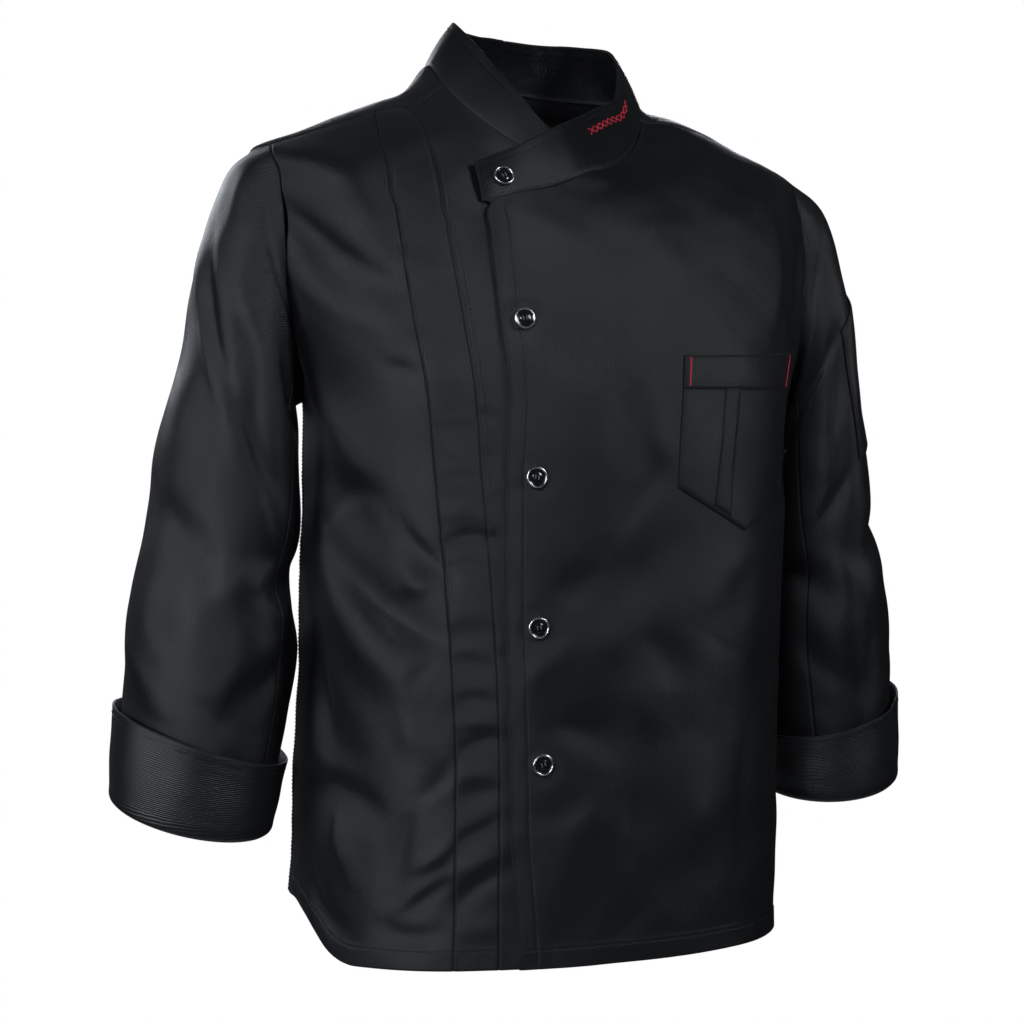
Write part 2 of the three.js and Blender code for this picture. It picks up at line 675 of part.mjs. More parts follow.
function sleevePieces(side) {
  const step = 180 / ARMHOLE_ROWS;
  const stretch = (from, to) => {
    const columns = Math.round((to - from) / step);
    const angles = Array.from({ length: columns + 1 }, (_, i) => from + i * step);
    const nodes = [];
    for (let j = 0; j <= SLEEVE_ROWS; j++) {
      const along = (j / SLEEVE_ROWS) ** 1.15;
      nodes.push(
        angles.map((angle) => ({
          point: sleeveSurface(angle, along, side),
          normal: j === 0 ? armholeMitre(angle, side) : sleeveNormal(angle, along, side),
        })),
      );
    }
    const gap = (j) => (j < SLEEVE_START_ROWS ? SLEEVE_START_GAP : SEAM_GAP) / 2;
    return trimGrid(nodes, { start: gap, end: gap, bottom: SEAM_GAP });
  };
  return {
    top: wall(stretch(SLEEVE_SEAM_BACK - 360, SLEEVE_SEAM_FRONT), CLOTH),
    under: wall(stretch(SLEEVE_SEAM_FRONT, SLEEVE_SEAM_BACK), CLOTH),
  };
}

// The turned-back cuff: from the sleeve's end it folds round the bottom edge and climbs outside. Below
// the sleeve's end the rows give millimetres, above it shares of the cuff's height.
const CUFF_FOLD = table("out down", [
  [0.0, 0.0],
  [0.6, 3.6],
  [CUFF_STAND_OFF / 2, 5.6],
  [CUFF_STAND_OFF - 0.7, 3.6],
]);
const CUFF_WALL = table("out share", [
  [CUFF_STAND_OFF - 0.4, 0.08],
  [CUFF_STAND_OFF + 0.4, 0.38],
  [CUFF_STAND_OFF, 0.7],
  [CUFF_STAND_OFF + 0.9, 1.0],
]);

function cuffPiece(side) {
  const folded = CUFF_FOLD.down.length;
  const count = folded + CUFF_WALL.share.length;
  const place = (sleeveAngle, k) => {
    const height = CUFF_HEIGHT + CUFF_HIGHER * Math.cos(sleeveAngle * DEGREE);
    const up = k < folded ? 0 : CUFF_WALL.share[k - folded] * height;
    const down = k < folded ? CUFF_FOLD.down[k] : 0;
    const out = k < folded ? CUFF_FOLD.out[k] : CUFF_WALL.out[k - folded];
    const along = 1 - up / SLEEVE_END_LENGTH;
    const p = sleeveForm(sleeveAngle, along, side);
    const wayDown = sleeveForm(sleeveAngle, 1, side).sub(sleeveForm(sleeveAngle, 0.97, side)).normalize();
    const outward = normalOf((a, t) => sleeveForm(a, t, side), sleeveAngle, along, 1.5, 0.01, 0, 1, side);
    return p.addScaledVector(outward, out).addScaledVector(wayDown, down + SEAM_GAP);
  };
  const nodes = [];
  for (let k = 0; k < count; k++) {
    const line = [];
    for (let i = 0; i < CUFF_COLUMNS; i++) {
      const angle = (360 * i) / CUFF_COLUMNS;
      const before = place(angle, Math.max(0, k - 1));
      const after = place(angle, Math.min(count - 1, k + 1));
      const round = place(angle + 2, k).sub(place(angle - 2, k));
      const normal = round.cross(after.sub(before)).normalize().multiplyScalar(side);
      line.push({ point: place(angle, k), normal });
    }
    nodes.push(line);
  }
  return wall(nodes, CLOTH, true);
}

// A patch on the left front, from the panel's own points moved out.
function patchNodes(columns, rowsCount, place, out) {
  const nodes = [];
  for (let j = 0; j <= rowsCount; j++)
    nodes.push(
      Array.from({ length: columns + 1 }, (_, i) => {
        const { angle, level } = place(i / columns, j / rowsCount);
        const normal = bodyNormal(angle, level);
        const point = bodySurface(angle, level).addScaledVector(normal, lift(angle) + out);
        return { point, normal };
      }),
    );
  return nodes;
}

const PATCH_OUT = CLOTH / 2 + REST_GAP + PATCH_CLOTH / 2;

function chestPocketPieces() {
  const pointed = (t) => mix(POCKET.corner, POCKET.point, 1 - Math.abs(2 * t - 1));
  const across = (t) => mix(POCKET.left, POCKET.right, t);
  const below = POCKET.band - BAND_GAP_LEVEL;
  const bodyPlace = (u, v) => ({ angle: across(u) - POCKET.slant * (1 - v), level: mix(pointed(u), below, v) });
  const bandPlace = (u, v) => ({ angle: across(u), level: mix(POCKET.band, POCKET.top, v) });
  const pleatPlace = (u, v) => ({
    angle: mix(...POCKET.pleat, u) - POCKET.pleatSlant * (1 - v),
    level: mix(mix(...POCKET.pleatBottom, 1 - u), below, v),
  });
  const bandOut = CLOTH / 2 + REST_GAP + BAND_CLOTH / 2;
  return {
    body: wall(patchNodes(10, 7, bodyPlace, PATCH_OUT), PATCH_CLOTH),
    band: wall(patchNodes(10, 2, bandPlace, bandOut), BAND_CLOTH),
    pleat: wall(patchNodes(2, 7, pleatPlace, PATCH_OUT + PATCH_CLOTH + REST_GAP), PATCH_CLOTH),
  };
}

function sleevePocketPiece() {
  const columns = 6;
  const rowsCount = 7;
  const out = PATCH_OUT + SLEEVE_POCKET_LIFT;
  const nodes = [];
  for (let j = 0; j <= rowsCount; j++)
    nodes.push(
      Array.from({ length: columns + 1 }, (_, i) => {
        const angle = mix(SLEEVE_POCKET.back, SLEEVE_POCKET.front, i / columns);
        const along = mix(SLEEVE_POCKET.top, SLEEVE_POCKET.bottom, j / rowsCount);
        const normal = sleeveNormal(angle, along, LEFT);
        return { point: sleeveSurface(angle, along, LEFT).addScaledVector(normal, out), normal };
      }),
    );
  return wall(nodes, PATCH_CLOTH);
}

function neckLabelPiece() {
  const nodes = [];
  for (let j = 0; j <= 3; j++)
    nodes.push(
      Array.from({ length: 5 }, (_, i) => {
        const angle = mix(NECK_LABEL.from, NECK_LABEL.to, i / 4);
        const level = mix(NECK_LABEL.bottom, NECK_LABEL.top, j / 3);
        const normal = bodyNormal(angle, level);
        return { point: bodySurface(angle, level).addScaledVector(normal, -NECK_LABEL.inset), normal };
      }),
    );
  return wall(nodes, NECK_LABEL.cloth);
}

// A dished button with a raised rim, its flat back on the local plane z = 0.
function buttonGeometry() {
  const r = BUTTON_DIAMETER / 2;
  const profile = [
    [0, 0],
    [0.92 * r, 0],
    [r, 0.9],
    [r, 2.6],
    [0.93 * r, 3.3],
    [0.83 * r, 3.0],
    [0.76 * r, 2.2],
    [0.4 * r, 2.6],
    [0, 2.7],
  ].map(([x, y]) => new THREE.Vector2(x, y));
  return new THREE.LatheGeometry(profile, 16).rotateX(Math.PI / 2);
}

function standOn(mesh, point, normal) {
  mesh.position.copy(point);
  mesh.quaternion.setFromUnitVectors(new THREE.Vector3(0, 0, 1), normal);
  return mesh;
}

const satin = new THREE.MeshStandardMaterial({ color: 0x1b1c20, roughness: 0.5 });
const labelCloth = new THREE.MeshStandardMaterial({ color: 0xe8e6e0, roughness: 0.8 });
const buttonPlastic = new THREE.MeshStandardMaterial({ color: 0x1a1b22, roughness: 0.2, metalness: 0.1 });

const jacket = new THREE.Group();
function add(name, geometry, material = satin) {
  const mesh = new THREE.Mesh(geometry, material);
  mesh.name = name;
  jacket.add(mesh);
  return mesh;
}

const back = backPiece();
const rightFront = rightFrontPieces();
const leftFront = leftFrontPiece();
add("back", back.geometry);
add("left_front", leftFront.geometry);
add("right_front_side", rightFront.side);
add("right_front_strip", rightFront.strip);
add("right_front_inner", rightFront.inner);

const backLeft = back.neckLine.filter((node) => node.angle <= 180.001).reverse();
const backRight = back.neckLine
  .filter((node) => node.angle >= 179.999)
  .map((node) => ({ ...node, angle: node.angle - 360 }));
const leftNeck = [...backLeft, ...leftFront.neckLine.slice(0, -1).reverse()];
const rightNeck = [...backRight, ...rightFront.neckLine.slice(1).filter((node) => node.angle < -15)];
const collarTrim = { start: SEAM_GAP / 2, end: 0, bottom: SEAM_GAP / 2, top: 0 };
const leftCollar = trimGrid(collarPiece(leftNeck, COLLAR_LEFT), collarTrim);
add("collar_left", wall(leftCollar, CLOTH));
add("collar_right", wall(trimGrid(collarPiece(rightNeck, COLLAR_RIGHT), collarTrim), CLOTH));
add("neck_label", neckLabelPiece(), labelCloth);

for (const [name, side] of [
  ["left", LEFT],
  ["right", RIGHT],
]) {
  const sleeve = sleevePieces(side);
  add(`sleeve_${name}_top`, sleeve.top);
  add(`sleeve_${name}_under`, sleeve.under);
  add(`cuff_${name}`, cuffPiece(side));
}

const pocket = chestPocketPieces();
add("chest_pocket", pocket.body);
add("chest_pocket_band", pocket.band);
add("chest_pocket_pleat", pocket.pleat);
add("sleeve_pocket", sleevePocketPiece());

// The collar's button stands on the tab, a little in from its end.
const tabEnd = leftCollar[0].length - 1;
const tabSpot = (j) => leftCollar[j][tabEnd].point.clone().lerp(leftCollar[j][tabEnd - 1].point, 0.5);
const tabMiddle = tabSpot(1).lerp(tabSpot(2), 0.2);
const tabNormal = leftCollar[1][tabEnd].normal.clone().add(leftCollar[1][tabEnd - 1].normal).normalize();
const tabSeat = tabMiddle.addScaledVector(tabNormal, CLOTH / 2 + BUTTON_CLEARANCE);
standOn(add("button_collar", buttonGeometry(), buttonPlastic), tabSeat, tabNormal);

BUTTONS.angle.forEach((angle, k) => {
  const level = BUTTONS.level[k];
  const normal = bodyNormal(angle, level);
  const out = lift(angle) + CLOTH / 2 + BUTTON_CLEARANCE;
  const mesh = add(`button_${k + 1}`, buttonGeometry(), buttonPlastic);
  standOn(mesh, bodySurface(angle, level).addScaledVector(normal, out), normal);
});

export default jacket;
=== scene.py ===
"""A black chef's jacket in its worn form: thin cloth shells, seams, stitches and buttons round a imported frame.

The shapes are worked out in millimetres from short tables and are turned into metres where a mesh is made.
"""

import math
from functools import partial

import bpy
import numpy as np
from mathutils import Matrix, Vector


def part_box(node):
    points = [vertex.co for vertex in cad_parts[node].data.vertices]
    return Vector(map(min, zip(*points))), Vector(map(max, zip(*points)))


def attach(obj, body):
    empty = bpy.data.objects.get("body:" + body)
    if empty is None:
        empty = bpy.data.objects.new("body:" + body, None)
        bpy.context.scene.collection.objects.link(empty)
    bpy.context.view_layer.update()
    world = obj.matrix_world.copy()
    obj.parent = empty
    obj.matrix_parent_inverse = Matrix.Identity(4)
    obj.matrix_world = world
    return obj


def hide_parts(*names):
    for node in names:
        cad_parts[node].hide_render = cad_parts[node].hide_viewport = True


bl_info = {
    "name": "Chef jacket",
    "version": (1, 0, 0),
    "blender": (4, 5, 0),
    "location": "3D Viewport > Sidebar > Jacket",
    "description": "Builds the cloth, sewing, buttons and studio of a chef's jacket",
    "category": "Add Mesh",
}

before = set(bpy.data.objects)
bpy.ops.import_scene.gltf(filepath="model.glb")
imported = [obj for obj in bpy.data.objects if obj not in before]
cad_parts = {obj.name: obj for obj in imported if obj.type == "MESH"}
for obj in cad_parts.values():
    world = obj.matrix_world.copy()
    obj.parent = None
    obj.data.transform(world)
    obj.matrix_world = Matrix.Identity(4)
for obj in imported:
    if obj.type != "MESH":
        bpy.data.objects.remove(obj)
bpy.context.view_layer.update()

MM = 0.001
RAD = math.pi / 180
LEFT = 1
RIGHT = -1


# Tables of the form


def table(text):
    """Named columns as arrays: the first line of the text holds the names, and each other line is a row."""
    names, *rows = text.strip().splitlines()
    values = np.array([row.split() for row in rows], float)
    return dict(zip(names.split(), values.T))


BODY = table("""
level half_width mid_x front_y mid_y back_y side_z front_z back_z square back_square dip
0.0 205 -10 -158 -12 104 -694 -694 -690 2.35 2.35 2.0
0.15 204 -9 -160 -14 103 -590 -590 -590 2.35 2.35 2.0
0.35 204 -5 -161 -18 101 -430 -430 -430 2.35 2.35 2.0
0.5 205 -2 -159 -20 100 -312 -312 -308 2.35 2.3 2.0
0.575 207 0 -156 -18 101 -258 -262 -250 2.35 2.25 2.0
0.68 229 -1 -150 -12 104 -190 -212 -186 2.2 2.1 2.0
0.78 243 -2 -142 -4 108 -128 -170 -124 2.1 1.95 2.0
0.86 244 -3 -134 6 108 -78 -140 -76 2.0 1.75 2.0
0.9 237 -3 -128 12 106 -56 -124 -48 2.0 1.62 2.0
0.925 203 -1 -123 13 104 -41 -114 -32 2.0 1.64 1.8
0.95 170 0 -117 13 100 -27 -103 -18 2.0 1.72 1.6
0.97 138 0 -111 12 95 -13 -93 -6 2.0 1.8 1.4
0.985 111 0 -106 11 89 -4 -84 1 2.0 1.9 1.2
1.0 96 2 -100 10 84 10 -77 16 2.0 2.0 1.0
""")
NECK_TILT = 9
TILT_BLEND = (0.975, 1.0)
LEFT_NECK_SQUARE = 1.35
NECK_BLEND = (0.955, 1.0)
HEM_LIFT = {"angle": -105, "front": 45, "blend": 34, "back": 60, "height": 42, "top": 0.3}
UNDERARM_LEVEL = 0.575
SHOULDER_LEVEL = 0.9
ARMHOLE = {"underarm": 102, "shoulder": 82, "front": 16, "back": 30}
NECK_ANGLE = 77
OVERLAP_LIFT = 3.2
UNDERLAP_ANGLE = 15
STRIP_OUTER_TOP = 0.961
STRIP_INNER_TOP = 0.976
RING_MM_PER_DEGREE = 3.9

FRONT_LINES = table("""
level strip_outer strip_inner left_edge
0.0 -35.3 -25.6 -21.2
0.06 -35.3 -25.8 -22.1
0.15 -35.5 -26.0 -23.8
0.24 -36.1 -26.6 -24.6
0.32 -37.6 -27.8 -25.7
0.37 -38.8 -28.8 -26.2
0.43 -40.3 -30.1 -26.4
0.5 -42.0 -31.6 -26.4
0.575 -43.2 -32.5 -25.8
0.67 -41.9 -31.3 -24.0
0.75 -41.0 -30.8 -23.1
0.82 -41.1 -31.0 -22.9
0.84 -41.4 -31.2 -22.9
0.86 -41.9 -31.4 -23.0
0.88 -42.6 -31.9 -23.2
0.9 -44.1 -32.8 -23.6
0.91 -47.0 -34.9 -24.2
0.92 -51.2 -37.8 -24.6
0.93 -56.0 -40.8 -24.8
0.94 -61.2 -44.0 -25.0
0.953 -70.0 -49.8 -25.0
0.961 -78.4 -54.9 -25.0
0.965 -79.0 -57.8 -25.0
0.969 -79.0 -61.4 -25.0
0.973 -79.0 -66.4 -25.0
0.976 -79.0 -77.6 -25.0
1.0 -79.0 -77.0 -25.0
""")
LEFT_NECKLINE = table("""
angle level
-25.5 0.909
-21.5 0.938
-12.0 0.975
0.0 1.0
20.0 1.0
""")

SLEEVE = table("""
along x y z half_up half_y turn lean left_bulge
0.09 241 13 -174 97 60 14 0 11
0.2 251 15 -221 80 67 28 0 8
0.32 256 18 -270 65 71 44 0 1
0.45 264 19 -328 65 72 58 0 0
0.58 273 19 -387 60 69 69 2 0
0.68 276 19 -442 67 71 79 6 0
0.78 281 19 -490 64 68 80 10 0
0.88 287 19 -530 62 65 80 13 0
1.0 293 20 -578 58 61 81 14 0
""")
SLEEVE_LENGTH = 440
SLEEVE_END_LENGTH = 400
SLEEVE_MM_PER_DEGREE = 1.2
SLEEVE_SEAM_FRONT = 126
SLEEVE_SEAM_BACK = 234

COLLAR_LEFT = table("""
angle x y z
180 -3.5 64 56
150 30 60 54
120 59 40 51
90 71 6 41
60 64 -19 10
45 54 -31 -6
30 36 -43 -14
15 14 -60 -24
0 -9 -76 -34
-12 -28 -91 -42
-20 -64 -99 -60
-25.5 -98 -95 -74
""")
COLLAR_RIGHT = table("""
angle x y z
-180 -4.5 64 56.5
-150 -34 58 57
-120 -58 40 57
-95 -70 14 56
-75 -66 -19 34
-60 -58 -40 13
-45 -49 -59 -7
-33 -38 -71 -27
-15 -24 -79 -43
""")
CUFF_HEIGHT = 58
CUFF_HIGHER = 8
CUFF_STAND_OFF = 6.5
POCKET = {
    "left": 14.4,
    "right": 52.5,
    "slant": 0.9,
    "top": 0.648,
    "band": 0.596,
    "corner": 0.478,
    "point": 0.434,
    "pleat": (25.6, 30.0),
    "pleat_slant": 2.2,
    "pleat_bottom": (0.45, 0.46),
}
SLEEVE_POCKET = {"front": 66, "back": 2, "top": 0.2, "bottom": 0.43}
NECK_LABEL = {"from": 166, "to": 188, "top": 0.985, "bottom": 0.952, "inset": 3.4}
BUTTONS = table("""
angle level
-19.2 0.703
-20.0 0.488
-19.1 0.344
-17.4 0.216
""")
BUTTON_RADIUS = 8.25

# Broad folds that the frame has too: place, slant up to the wearer's left, and size.
BODY_FOLDS = table("""
angle height slant length width depth
-62 -150 -58 150 26 -5
-52 -95 -60 110 22 3
-66 -345 -34 150 24 -6
-70 -290 -32 120 22 4
-60 -430 -28 130 24 3
-70 -515 -40 150 24 -5
-62 -600 34 130 20 3
-44 -640 38 110 16 -3
8 -390 38 170 26 -5
-2 -445 30 120 20 3
0 -515 -14 120 20 -4
22 -585 32 140 24 3
48 -480 -30 120 22 -4
58 -300 35 120 22 -3
70 -610 -48 130 24 3
60 -150 58 130 24 -4
128 -330 52 170 26 -5
140 -250 50 150 24 4
150 -470 30 190 28 -6
178 -395 4 200 26 -4
205 -480 -28 190 26 -5
226 -300 -55 170 26 -6
214 -235 -50 140 22 4
165 -600 -14 170 24 4
200 -590 22 150 24 -4
182 -110 0 230 24 3
""")
SLEEVE_FOLDS = table("""
round along slant length width depth
58 0.3 80 150 20 4
84 0.34 76 140 16 -5
120 0.2 50 90 14 -4
40 0.56 20 90 13 -4
90 0.6 -24 100 13 3
140 0.57 -30 90 12 -5
300 0.55 22 110 14 -4
250 0.6 30 100 13 3
330 0.28 -68 140 18 -4
280 0.3 -60 130 17 3
110 0.74 -38 90 12 -3
20 0.76 30 100 13 3
220 0.72 -20 100 13 -4
""")


# Curves and surfaces


def smooth(x, start, end):
    """3t^2 - 2t^3 with t = (x - start) / (end - start) held from 0 to 1."""
    t = np.clip((np.asarray(x, float) - start) / (end - start), 0, 1)
    return t * t * (3 - 2 * t)


def mix(a, b, t):
    """a + (b - a) t."""
    return a + (b - a) * t


def bell(distance, width):
    """exp(-(distance / width)^2)."""
    return np.exp(-((distance / width) ** 2))


def wrap(angle):
    """The angle brought to -180..180 degrees."""
    return (np.asarray(angle, float) + 180) % 360 - 180


def row_slopes(xs, ys):
    """Slope at each row: the neighbours' chords weighted by each other's spans, and the end chords."""
    span = np.diff(xs).reshape((-1,) + (1,) * (ys.ndim - 1))
    chord = np.diff(ys, axis=0) / span
    slope = np.empty_like(ys)
    slope[1:-1] = (chord[:-1] * span[1:] + chord[1:] * span[:-1]) / (span[1:] + span[:-1])
    slope[0], slope[-1] = chord[0], chord[-1]
    return slope


def spline(xs, ys, x, own=False):
    """Cubic Hermite curve through rows (xs, ys), read at x. With own, each x has its own column of points."""
    ys = np.asarray(ys, float)
    x = np.asarray(x, float)
    slope = row_slopes(xs, ys)
    k = np.clip(np.searchsorted(xs, x, side="right") - 1, 0, len(xs) - 2)
    span = xs[k + 1] - xs[k]
    t = np.clip((x - xs[k]) / span, 0, 1)
    start, end = k, k + 1
    if own:
        column = np.arange(x.size)
        start, end = (k, column), (k + 1, column)
        span, t = span[:, None], t[:, None]
    before = (2 * t**3 - 3 * t**2 + 1) * ys[start] + (t**3 - 2 * t**2 + t) * span * slope[start]
    return before + (3 * t**2 - 2 * t**3) * ys[end] + (t**3 - t**2) * span * slope[end]


def hem_lift(angle, level):
    """The hem's rise towards the wearer's right side, in millimetres."""
    away = wrap(angle - HEM_LIFT["angle"])
    front = smooth(HEM_LIFT["front"] - away, 0, HEM_LIFT["blend"])
    back = smooth(HEM_LIFT["back"] + away, 0, HEM_LIFT["back"])
    rise = np.where(away > 0, front, back)
    return HEM_LIFT["height"] * rise * (1 - smooth(level, 0, HEM_LIFT["top"]))


def form(angle, level):
    """The body's smooth form: rings |x|^p + |y|^p = 1 whose sizes follow the table up the levels."""
    angle, level = np.broadcast_arrays(np.asarray(angle, float), np.asarray(level, float))
    ring = {name: spline(BODY["level"], BODY[name], level) for name in BODY if name != "level"}
    s = np.sin(angle * RAD)
    c = np.cos(angle * RAD)
    neck = smooth(level, *NECK_BLEND)
    tilt = NECK_TILT * smooth(level, *TILT_BLEND)
    front_square = np.where(s > 0, mix(ring["square"], LEFT_NECK_SQUARE, neck), ring["square"])
    square = np.where(c > 0, front_square, ring["back_square"])
    reach = (np.abs(s) ** square + np.abs(c) ** square) ** (-1 / square)
    depth = np.where(c > 0, ring["mid_y"] - ring["front_y"], ring["back_y"] - ring["mid_y"])
    end_z = np.where(c > 0, ring["front_z"], ring["back_z"])
    drop = (end_z - ring["side_z"]) * (np.abs(c) * reach) ** ring["dip"]
    x = ring["mid_x"] + ring["half_width"] * s * reach
    y = ring["mid_y"] - depth * c * reach
    z = ring["side_z"] + drop + hem_lift(angle, level) - tilt * s
    return np.stack([x, y, z], -1)


def unit(v):
    """Each vector over its own length."""
    return v / np.maximum(np.linalg.norm(v, axis=-1, keepdims=True), 1e-9)


def normal_of(surface, u, v, du, dv, facing=1):
    """Unit cross product of the surface's differences across u and along v."""
    across = surface(u + du, v) - surface(u - du, v)
    along = surface(u, np.minimum(1, v + dv)) - surface(u, np.maximum(0, v - dv))
    return facing * unit(np.cross(across, along))


def relief(folds, dx_of, y, ys, xs):
    """Sum of depth * exp(-1.6 (2 along / length)^2) * exp(-(across / width)^2) over the folds."""
    height = np.zeros(np.shape(y))
    for i in range(len(xs)):
        dx = dx_of(xs[i])
        dy = y - ys[i]
        turn = folds["slant"][i] * RAD
        along = dx * math.cos(turn) + dy * math.sin(turn)
        across = dy * math.cos(turn) - dx * math.sin(turn)
        fade = np.exp(-((along / (folds["length"][i] / 2)) ** 2) * 1.6)
        height += folds["depth"][i] * fade * bell(across, folds["width"][i])
    return height


def body_surface(angle, level):
    """The form with its broad folds, the same as the frame's."""
    p = form(angle, level)
    height = relief(
        BODY_FOLDS,
        lambda a: wrap(angle - a) * RING_MM_PER_DEGREE,
        p[..., 2],
        BODY_FOLDS["height"],
        BODY_FOLDS["angle"],
    )
    return p + normal_of(form, angle, level, 0.4, 0.002) * height[..., None]


def body_normal(angle, level):
    """Outward unit normal of body_surface."""
    return normal_of(body_surface, angle, level, 0.4, 0.002)


def lift(angle):
    """How far the left front stands out over the right one."""
    return OVERLAP_LIFT * (1 - smooth(wrap(angle), 22, 60))


def armhole(turn_round, side, front):
    """Angle and level of the armhole's edge, 0 at the underarm and 180 degrees at the shoulder."""
    turn = np.asarray(turn_round, float) * RAD
    centre = mix(ARMHOLE["shoulder"], ARMHOLE["underarm"], (1 + np.cos(turn)) / 2)
    half = np.where(front, -ARMHOLE["front"], ARMHOLE["back"]) * np.sin(turn)
    level = mix(UNDERARM_LEVEL, SHOULDER_LEVEL, (1 - np.cos(turn)) / 2)
    return side * (centre + half), level


def armhole_of_sleeve(sleeve_angle, side):
    """Angle and level where a sleeve's angle starts: 0 at the shoulder, 90 in front, 180 underarm."""
    a = np.asarray(sleeve_angle, float) % 360
    front = a <= 180
    return armhole(np.where(front, 180 - a, a - 180), side, front)


def sleeve_section(k, sleeve_angle, side):
    """Ellipse number k of the sleeve: centre + half_up cos(a) up + half_y sin(a) forward."""
    turn = SLEEVE["turn"][k] * RAD
    lean = SLEEVE["lean"][k] * RAD
    c = np.cos(sleeve_angle * RAD)
    out = SLEEVE["half_up"][k] * c
    front = SLEEVE["half_y"][k] * np.sin(sleeve_angle * RAD)
    bulge = SLEEVE["left_bulge"][k] * np.maximum(0, c) ** 2 if side == LEFT else 0
    x = side * (SLEEVE["x"][k] + out * math.sin(turn) + bulge)
    y = SLEEVE["y"][k] - front * math.cos(lean)
    z = SLEEVE["z"][k] + out * math.cos(turn) - front * math.sin(lean)
    return np.stack([x, y, z], -1)


def sleeve_form(sleeve_angle, along, side):
    """Cubic from the armhole's edge through the sleeve's ellipses."""
    angle, along = np.broadcast_arrays(np.asarray(sleeve_angle, float), np.asarray(along, float))
    shape = angle.shape
    angle, along = angle.ravel(), along.ravel()
    rows = [body_surface(*armhole_of_sleeve(angle, side))]
    rows += [sleeve_section(k, angle, side) for k in range(len(SLEEVE["along"]))]
    stops = np.concatenate([[0], SLEEVE["along"]])
    return spline(stops, np.stack(rows), along, own=True).reshape(*shape, 3)


def sleeve_surface(sleeve_angle, along, side):
    """The sleeve's form with its broad folds, the same as the frame's."""

    def here(a, t):
        return sleeve_form(a, t, side)

    angle, along = np.broadcast_arrays(np.asarray(sleeve_angle, float), np.asarray(along, float))
    height = relief(
        SLEEVE_FOLDS,
        lambda a: wrap(angle - a) * SLEEVE_MM_PER_DEGREE,
        along * SLEEVE_LENGTH,
        SLEEVE_FOLDS["along"] * SLEEVE_LENGTH,
        SLEEVE_FOLDS["round"],
    )
    height = height * smooth(along, 0, 0.1) * (1 - smooth(along, 0.8, 0.88))
    return here(angle, along) + normal_of(here, angle, along, 1.5, 0.01, side) * height[..., None]


def sleeve_normal(sleeve_angle, along, side):
    """Outward unit normal of sleeve_surface."""
    return normal_of(lambda a, t: sleeve_surface(a, t, side), sleeve_angle, along, 1.5, 0.01, side)


# Creases: curves through three points, angle and height for the body, angle and way along for a sleeve


CREASES = table("""
a1 b1 a2 b2 a3 b3 width depth
-82 -93 -58 -145 -40 -185 17 -4.8
-66 -78 -48 -116 -37 -165 17 1.4
-76 -152 -60 -191 -44 -204 17 2.0
-52 -232 -48 -238 -44 -236 9 -2.3
-80 -358 -66 -330 -52 -345 12 -3.2
-76 -368 -54 -422 -38 -444 17 -7.3
-51 -355 -45 -377 -39 -393 11 -4.1
-80 -390 -58 -451 -42 -490 22 5.9
-50 -406 -46 -403 -42 -406 10 2.9
-96 -557 -65 -563 -53 -586 16 -4.6
-80 -448 -78 -493 -70 -547 16 -3.4
-68 -585 -66 -606 -62 -628 12 3.4
-46 -573 -48 -603 -50 -634 12 -4.0
-36 -594 -40 -609 -45 -617 6 2.6
-48 -648 -42 -631 -36 -620 7 2.6
-52 -661 -46 -669 -38 -664 9 -2.6
-80 -627 -74 -652 -62 -672 10 -2.8
-40 -464 -44 -467 -46 -483 8 -1.9
-36 -542 -40 -555 -44 -564 8 -2.3
-48 -500 -46 -519 -40 -529 11 2.8
-80 -206 -85 -244 -76 -274 18 2.8
14 -298 4 -336 -4 -373 15 -3.1
-4 -383 -10 -403 -15 -419 14 -3.1
-22 -109 -18 -154 -10 -206 26 2.5
-12 -206 -6 -271 -12 -324 26 2.1
-16 -516 -9 -516 1 -539 12 -2.8
4 -558 4 -594 0 -623 14 -1.8
6 -645 3 -667 -3 -672 14 -1.4
14 -487 12 -464 5 -448 16 -2.3
-4 -483 4 -503 8 -532 14 1.7
22 -444 28 -454 34 -467 4 -1.1
41 -387 38 -419 36 -451 20 1.7
30 -94 18 -145 19 -203 30 -2.6
44 -94 44 -141 40 -199 16 1.7
-10 -114 2 -92 19 -75 9 -1.4
-12 -124 -9 -135 -4 -138 14 1.2
-22 -483 -18 -464 -10 -444 12 1.9
22 -526 19 -567 21 -606 18 1.3
36 -526 34 -580 36 -637 16 -1.3
-20 -591 -10 -589 -4 -567 14 2.1
4 -237 7 -276 12 -315 12 1.7
34 -374 31 -386 20 -416 14 1.6
62 -300 80 -352 96 -372 14 -2.8
66 -342 84 -398 104 -420 18 2.6
58 -486 78 -452 100 -462 13 -2.6
60 -560 70 -600 74 -656 16 -2.3
84 -500 88 -560 82 -630 20 2.6
74 -98 60 -140 56 -196 16 -2.6
118 -282 140 -322 162 -330 15 -3.3
116 -330 136 -372 158 -392 18 2.9
196 -356 218 -338 240 -288 14 -3.7
200 -404 224 -392 250 -330 18 2.8
122 -158 138 -212 142 -276 17 -2.9
236 -150 222 -208 216 -282 15 -3.3
228 -168 212 -232 208 -300 14 2.3
150 -92 146 -150 150 -214 22 2.1
168 -430 176 -520 170 -640 22 -2.8
188 -470 194 -560 190 -668 18 2.6
214 -470 208 -556 214 -650 16 -2.6
136 -486 140 -566 134 -652 18 2.5
118 -450 124 -520 118 -600 14 -2.5
234 -432 240 -516 232 -600 18 2.5
158 -352 180 -366 204 -350 11 -2.1
152 -404 172 -412 190 -402 9 1.6
-110 -300 -122 -342 -138 -352 13 -2.6
-104 -470 -118 -500 -130 -560 15 -2.5
""")
